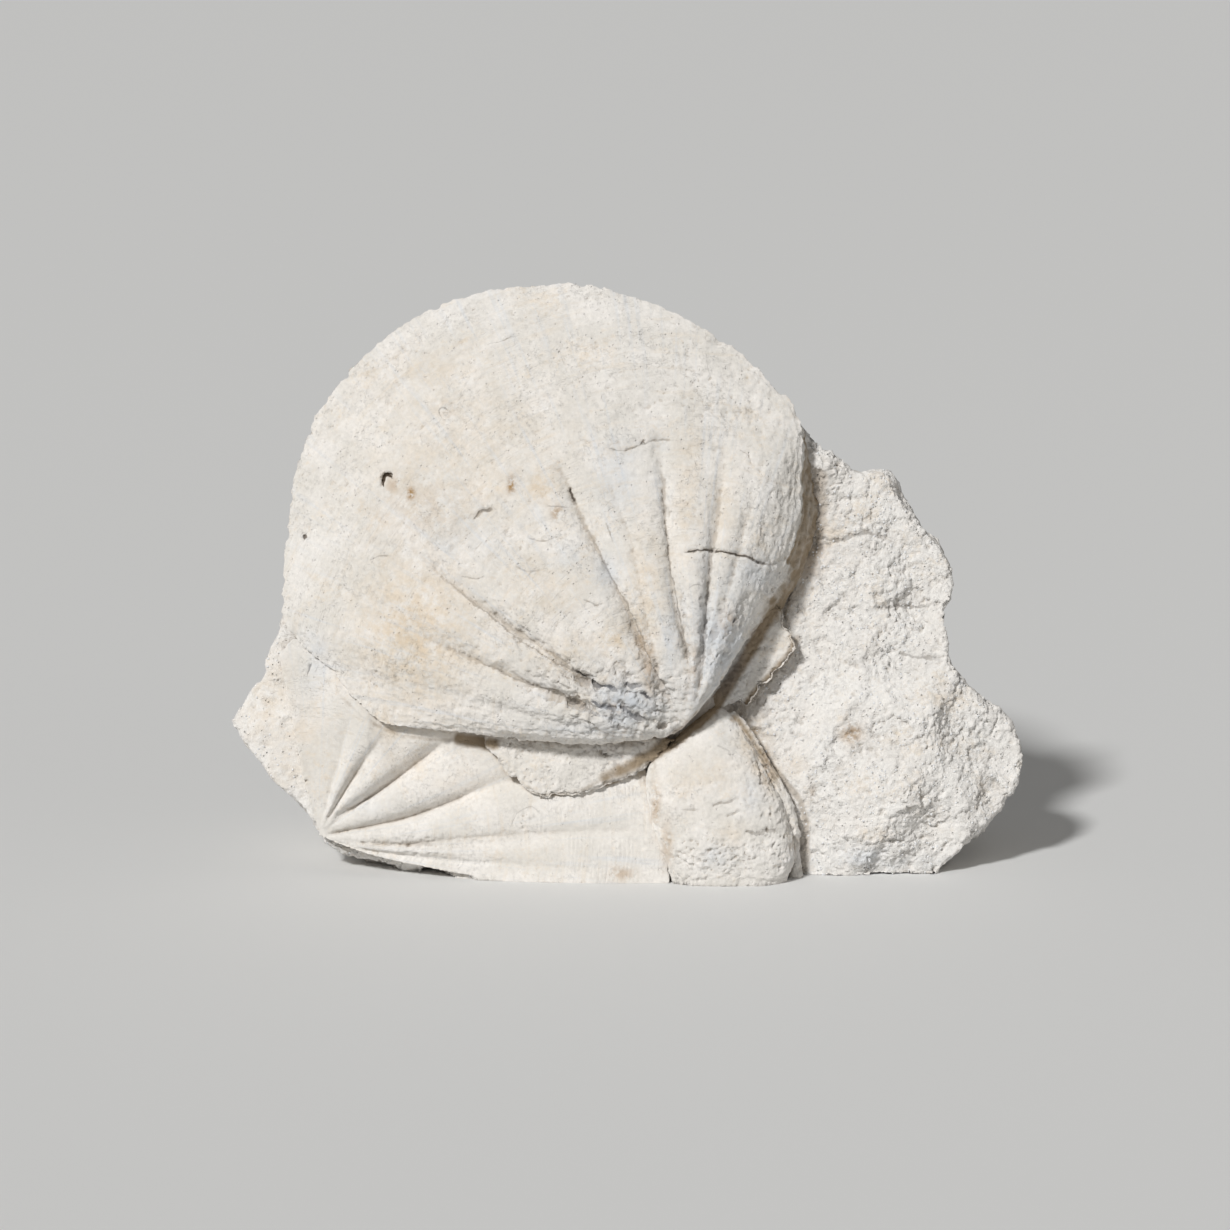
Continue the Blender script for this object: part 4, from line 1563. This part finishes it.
class FOSSIL_OT_oyster(bpy.types.Operator):
    """Build the oyster and the raised edge beside it"""

    bl_idname = "fossil.oyster"
    bl_label = "Oyster"

    def execute(self, context):
        prepare()
        shape = context.scene.fossil_shape
        material = bpy.data.materials["Oyster chalk"]
        bm = bmesh.new()
        bmesh.ops.create_uvsphere(bm, u_segments=120, v_segments=60, radius=1.0)
        for vert in bm.verts:
            direction = math.atan2(vert.co.y, vert.co.x)
            edge = float(smooth_through(OYSTER_OUTLINE, np.array([math.degrees(direction) % 360]))[0])
            reach = math.hypot(vert.co.x, vert.co.y) ** 0.85 * edge
            rise = OYSTER_DOME * 0.95 if vert.co.z > 0 else OYSTER_DEPTH
            level = vert.co.z if vert.co.z < 0 else vert.co.z ** 0.8
            vert.co = (OYSTER_MIDDLE[0] + reach * math.cos(direction),
                       OYSTER_MIDDLE[1] + reach * math.sin(direction),
                       OYSTER_EDGE_HEIGHT + rise * level)
        mesh = bpy.data.meshes.new("oyster_shell")
        bm.to_mesh(mesh)
        bm.free()
        obj = new_object("oyster_shell", mesh)
        remesh(obj, shape.small_detail)
        cut_at_floor(obj)
        self.finish(obj, material, 0.35, 0.0008, 0.0005)
        curve = bpy.data.curves.new("oyster_edge", "CURVE")
        curve.dimensions = "3D"
        curve.bevel_depth = OYSTER_LIP_RADIUS
        curve.bevel_resolution = 4
        curve.use_fill_caps = True
        spline = curve.splines.new("NURBS")
        spline.points.add(len(OYSTER_LIP) - 1)
        for index, (point, place) in enumerate(zip(spline.points, OYSTER_LIP)):
            point.co = (*place, 1)
            point.radius = 0.75 + 0.3 * math.sin(index * 1.7)
        spline.use_endpoint_u = True
        spline.order_u = 4
        drawn = new_object("oyster_edge_drawn", curve)
        context.view_layer.update()
        depsgraph = context.evaluated_depsgraph_get()
        mesh = bpy.data.meshes.new_from_object(drawn.evaluated_get(depsgraph))
        bpy.data.objects.remove(drawn)
        face_outward(mesh, WELD)
        edge = new_object("oyster_edge", mesh)
        remesh(edge, shape.small_detail * 0.8)
        cut_at_floor(edge)
        self.finish(edge, material, 0.5, 0.0007, 0.0004)
        return {"FINISHED"}

    def finish(self, obj, material, rough, lump_height, grain_height):
        points = positions(obj)
        paint_patches(obj, rough)
        paint_all(obj, reach=np.hypot(points[:, 0] - OYSTER_HINGE[0], points[:, 1] - OYSTER_HINGE[1]),
                  from_edge=FAR_FROM_EDGE, layers=0.0, growth=smooth_step(points[:, 1], 0.032, 0.022))
        marks = OYSTER_MARKS if obj.name == "oyster_shell" else EDGE_MARKS
        networks = [carve(obj, marks, 1.0, 1.6, 0.0010, "crack", material)]
        add_tree(obj, "Growth lines", Spacing=0.0042, Height=0.00045, Bend=0.012, Layer_height=0.0,
                 Material=material)
        add_tree(obj, "Weathered stone", Smooth_share=0.12, Lump_size=0.010, Lump_height=lump_height,
                 Flake_size=0.0055, Flake_height=0.0006, Pit_size=0.0024, Pit_depth=0.0008, Pit_share=0.45,
                 Grain_size=0.0014, Grain_height=grain_height, Seed=0.77, Material=material)
        finish_shape(obj, networks)


class FOSSIL_OT_limestone(bpy.types.Operator):
    """Build the limestone block"""

    bl_idname = "fossil.limestone"
    bl_label = "Limestone"

    def execute(self, context):
        prepare()
        shape = context.scene.fossil_shape
        corners = np.array(BLOCK_OUTLINE)
        count = len(corners)
        points = [(x, y, z) for z in (-BLOCK_SLAB / 2, BLOCK_SLAB / 2) for x, y in corners]
        faces = [tuple(range(count)), tuple(reversed(range(count, 2 * count)))]
        faces += [(i, count + i, count + (i + 1) % count, (i + 1) % count) for i in range(count)]
        obj = new_piece("limestone_block", points, faces)
        face_outward(obj.data)
        remesh(obj, PLAIN_SLAB_DETAIL)
        plain = positions(obj)
        front = smooth_step(plain[:, 2], 0.020, 0.036)
        move_to(obj, shape_block(plain))
        break_block(obj, 1 - SMOOTHER_FRONT * front)
        remesh(obj, shape.rock_detail)
        self.hide_covered(obj)
        cut_at_floor(obj)
        self.refine_front(obj)
        paint_patches(obj, 1.0)
        x, y, _ = positions(obj).T
        left_flake = smooth_step(x, -0.105, -0.112) * smooth_step(y, 0.085, 0.070)
        uneven = sum(0.5 * roughness_at(x, y, size, seed) for size, seed in ROUGH_GROUND)
        paint(obj, "rough", np.clip(0.80 + 0.75 * uneven - 0.35 * left_flake, 0.1, 1))
        material = bpy.data.materials["Limestone"]
        networks = [carve(obj, BLOCK_MARKS, 1.0, 1.3, 0.0030, "crack", material)]
        add_tree(obj, "Weathered stone", Smooth_share=0.15, Lump_size=0.011, Lump_height=0.0013,
                 Flake_size=0.0085, Flake_height=0.0007, Pit_size=0.0050, Pit_depth=0.0011, Pit_share=0.30,
                 Grain_size=0.0013, Grain_height=0.00072, Scale_size=0.0066, Scale_height=0.0012, Seed=0.91,
                 Material=material)
        finish_shape(obj, networks)
        return {"FINISHED"}

    def hide_covered(self, obj):
        """Leaves out the rock face that the fossils cover."""
        centres, facing = face_centres(obj)
        hidden = np.zeros(len(centres), bool)
        for fan, margin in ((LARGE_FAN, 0.028), (SMALL_FAN, 0.013)):
            hidden |= beyond(fan, centres) < -margin
        hidden &= (facing[:, 2] > 0.2) & (centres[:, 2] > -0.02) & (centres[:, 1] > 0.012)
        cap_underside(obj, hidden, POCKET_LEVEL)

    def refine_front(self, obj):
        """Gives the open face of the rock finer faces than its sides and back."""
        bm = bmesh.new()
        bm.from_mesh(obj.data)
        bm.faces.ensure_lookup_table()
        centres, facing = face_centres(obj)
        covered = np.minimum(beyond(LARGE_FAN, centres), beyond(SMALL_FAN, centres))
        open_face = (facing[:, 2] > 0.25) & (covered > -0.003) & (centres[:, 2] > -0.012)
        chosen = [bm.faces[i] for i in np.nonzero(open_face)[0] if len(bm.faces[i].verts) <= 4]
        edges = list({edge for face in chosen for edge in face.edges})
        bmesh.ops.subdivide_edges(bm, edges=edges, cuts=2, use_grid_fill=True)
        bm.to_mesh(obj.data)
        bm.free()


class FOSSIL_OT_crumbs(bpy.types.Operator):
    """Scatter crumbs over the open rock"""

    bl_idname = "fossil.crumbs"
    bl_label = "Crumbs"

    def execute(self, context):
        rock = bpy.data.objects["limestone_block"]
        obj = new_object("limestone_crumbs", rock.data.copy())
        points, facing = positions(obj), normals(obj)
        covered = beyond(LARGE_FAN, points)
        ragged = roughness_at(points[:, 0], points[:, 1], 0.012, 4) if len(points) < 400000 else 1.0
        crumbly = smooth_step(facing[:, 2], 0.3, 0.7) * (covered > 0.004) * np.clip(0.5 + ragged, 0, 1)
        crumbly *= points[:, 2] > -0.01
        paint(obj, "crumbly", crumbly)
        add_tree(obj, "Scattered crumbs", Density=context.scene.fossil_shape.crumbs * 1e4, Size=0.0006,
                 Smallest=0.4, Seed=3, Material=bpy.data.materials["Limestone"])
        settle(obj)
        paint_patches(obj, 1.0)
        obj.data.shade_smooth()
        return {"FINISHED"}


def height_map(pieces):
    """The highest point of the pieces in each cell of a grid over the relief, and the grid's corner."""
    points = np.vstack([positions(obj) for obj in pieces])
    corner = points[:, :2].min(axis=0) - 0.02
    cells = ((points[:, :2] - corner) / MAP_STEP).astype(int)
    heights = np.full(cells.max(axis=0) + int(0.02 / MAP_STEP) + 2, MAP_FLOOR)
    np.maximum.at(heights, (cells[:, 0], cells[:, 1]), points[:, 2])
    for _ in range(2):
        around = np.stack([np.roll(heights, shift, axis) for axis in (0, 1) for shift in (-1, 1)])
        heights = np.where(heights > MAP_FLOOR, heights, around.max(axis=0))
    return heights, corner


def shelter_at(points, facing, heights, corner):
    """How much more of the sky the relief around each point hides than a bare slope there would."""
    hidden = np.zeros(len(points))
    headings = np.arange(SHELTER_RAYS) * 2 * math.pi / SHELTER_RAYS
    for heading in headings:
        horizon = np.zeros(len(points))
        for distance in SHELTER_DISTANCES:
            x = points[:, 0] + distance * math.cos(heading)
            y = points[:, 1] + distance * math.sin(heading)
            column = np.clip(((x - corner[0]) / MAP_STEP).astype(int), 0, heights.shape[0] - 1)
            row = np.clip(((y - corner[1]) / MAP_STEP).astype(int), 0, heights.shape[1] - 1)
            horizon = np.maximum(horizon, (heights[column, row] - points[:, 2] - 0.0002) / distance)
        hidden += horizon / np.sqrt(1 + horizon**2) / SHELTER_RAYS
    bare = (1 - facing[:, 2]) / 2
    shelter = np.clip(hidden - bare, 0, 1) / np.clip(1 - bare, 0.15, 1)
    return shelter * smooth_step(points[:, 2], -0.014, -0.006)


def stand_on_floor(obj):
    """Lays a piece's underside flat on the floor again, after the weathering has moved it."""
    points, facing = positions(obj), normals(obj)
    under = (points[:, 2] < 0) | ((points[:, 2] < UNDERSIDE_REACH) & (facing[:, 2] < -0.5))
    points[under, 2] = 0
    move_to(obj, points)


class FOSSIL_OT_finish(bpy.types.Operator):
    """Read where soil collects on every piece, then lay the pieces in place"""

    bl_idname = "fossil.finish"
    bl_label = "Hollows and soil"

    def execute(self, context):
        heights, corner = height_map([bpy.data.objects[name] for name in PIECES])
        for name, (node, slot) in PIECES.items():
            obj = bpy.data.objects[name]
            paint(obj, "shelter", shelter_at(positions(obj), normals(obj), heights, corner))
            add_tree(obj, "Hollows", Material=obj.data.materials[0])
            settle(obj)
            obj.data.transform(RELIEF)
            stand_on_floor(obj)
            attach(obj, "root")
            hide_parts(node)
        return {"FINISHED"}


PIECES = {
    "large_valve": ("large_scallop", "large_scallop"),
    "lower_ear": ("large_scallop", "large_scallop"),
    "upper_ear": ("large_scallop", "large_scallop"),
    "small_valve": ("small_scallop", "small_scallop"),
    "oyster_shell": ("oyster", "oyster"),
    "oyster_edge": ("oyster", "oyster"),
    "limestone_block": ("limestone", "limestone"),
    "limestone_crumbs": ("limestone", "limestone"),
}


class FOSSIL_OT_stage(bpy.types.Operator):
    """Set the floor, the light and the camera"""

    bl_idname = "fossil.stage"
    bl_label = "Stage"

    def execute(self, context):
        scene, stage = context.scene, context.scene.fossil_stage
        scene.view_settings.view_transform = "Standard"
        half = FLOOR_SIZE / 2
        corners = [(-half, -half, 0), (half, -half, 0), (half, half, 0), (-half, half, 0)]
        floor = new_piece("floor", corners, [(0, 1, 2, 3)])
        material = bpy.data.materials.new("Pale floor")
        material.use_nodes = True
        shader = material.node_tree.nodes["Principled BSDF"]
        shader.inputs["Base Color"].default_value = (*stage.floor, 1.0)
        shader.inputs["Roughness"].default_value = 0.9
        floor.data.materials.append(material)
        key = bpy.data.lights.new("key", "SUN")
        key.energy = stage.key_power
        key.angle = stage.key_softness
        fill = bpy.data.lights.new("fill", "AREA")
        fill.size = FILL_SIZE
        fill.energy = stage.fill_power
        for lamp, place in ((key, KEY_PLACE), (fill, FILL_PLACE)):
            obj = new_object(lamp.name, lamp)
            obj.location = place
            obj.rotation_euler = (AIM - Vector(place)).to_track_quat("-Z", "Y").to_euler()
        world = bpy.data.worlds.new("soft studio")
        world.use_nodes = True
        background = world.node_tree.nodes["Background"]
        background.inputs["Color"].default_value = SKY_COLOUR
        background.inputs["Strength"].default_value = stage.sky
        scene.world = world
        camera = new_object("camera", bpy.data.cameras.new("camera"))
        camera.data.lens = CAMERA_LENS
        camera.data.sensor_width = SENSOR_WIDTH
        lean = math.radians(LEAN)
        camera.location = AIM - CAMERA_DISTANCE * Vector((0, math.cos(lean), -math.sin(lean)))
        camera.rotation_euler = (math.radians(90 - LEAN), 0, 0)
        scene.camera = camera
        return {"FINISHED"}


class FOSSIL_PT_panel(bpy.types.Panel):
    bl_idname = "FOSSIL_PT_panel"
    bl_label = "Fossil Scallop Block"
    bl_space_type = "VIEW_3D"
    bl_region_type = "UI"
    bl_category = "Fossil"

    def draw(self, context):
        for settings in (context.scene.fossil_shape, context.scene.fossil_colours,
                         context.scene.fossil_stage):
            for name in settings.__annotations__:
                self.layout.prop(settings, name)
        for operator in OPERATORS:
            self.layout.operator(operator.bl_idname)


OPERATORS = (
    FOSSIL_OT_large_valve, FOSSIL_OT_ears, FOSSIL_OT_small_valve, FOSSIL_OT_oyster, FOSSIL_OT_limestone,
    FOSSIL_OT_crumbs, FOSSIL_OT_finish, FOSSIL_OT_stage,
)
SETTINGS = {
    "fossil_shape": FossilShapeSettings, "fossil_colours": FossilColourSettings,
    "fossil_stage": FossilStageSettings,
}
CLASSES = (*SETTINGS.values(), *OPERATORS, FOSSIL_PT_panel)


def register():
    for cls in CLASSES:
        bpy.utils.register_class(cls)
    for name, group in SETTINGS.items():
        setattr(bpy.types.Scene, name, bpy.props.PointerProperty(type=group))


def unregister():
    for name in SETTINGS:
        delattr(bpy.types.Scene, name)
    for cls in reversed(CLASSES):
        bpy.utils.unregister_class(cls)


def main():
    register()
    bpy.ops.fossil.large_valve()
    bpy.ops.fossil.ears()
    bpy.ops.fossil.small_valve()
    bpy.ops.fossil.oyster()
    bpy.ops.fossil.limestone()
    bpy.ops.fossil.crumbs()
    bpy.ops.fossil.finish()
    bpy.ops.fossil.stage()


if __name__ == "__main__":
    main()
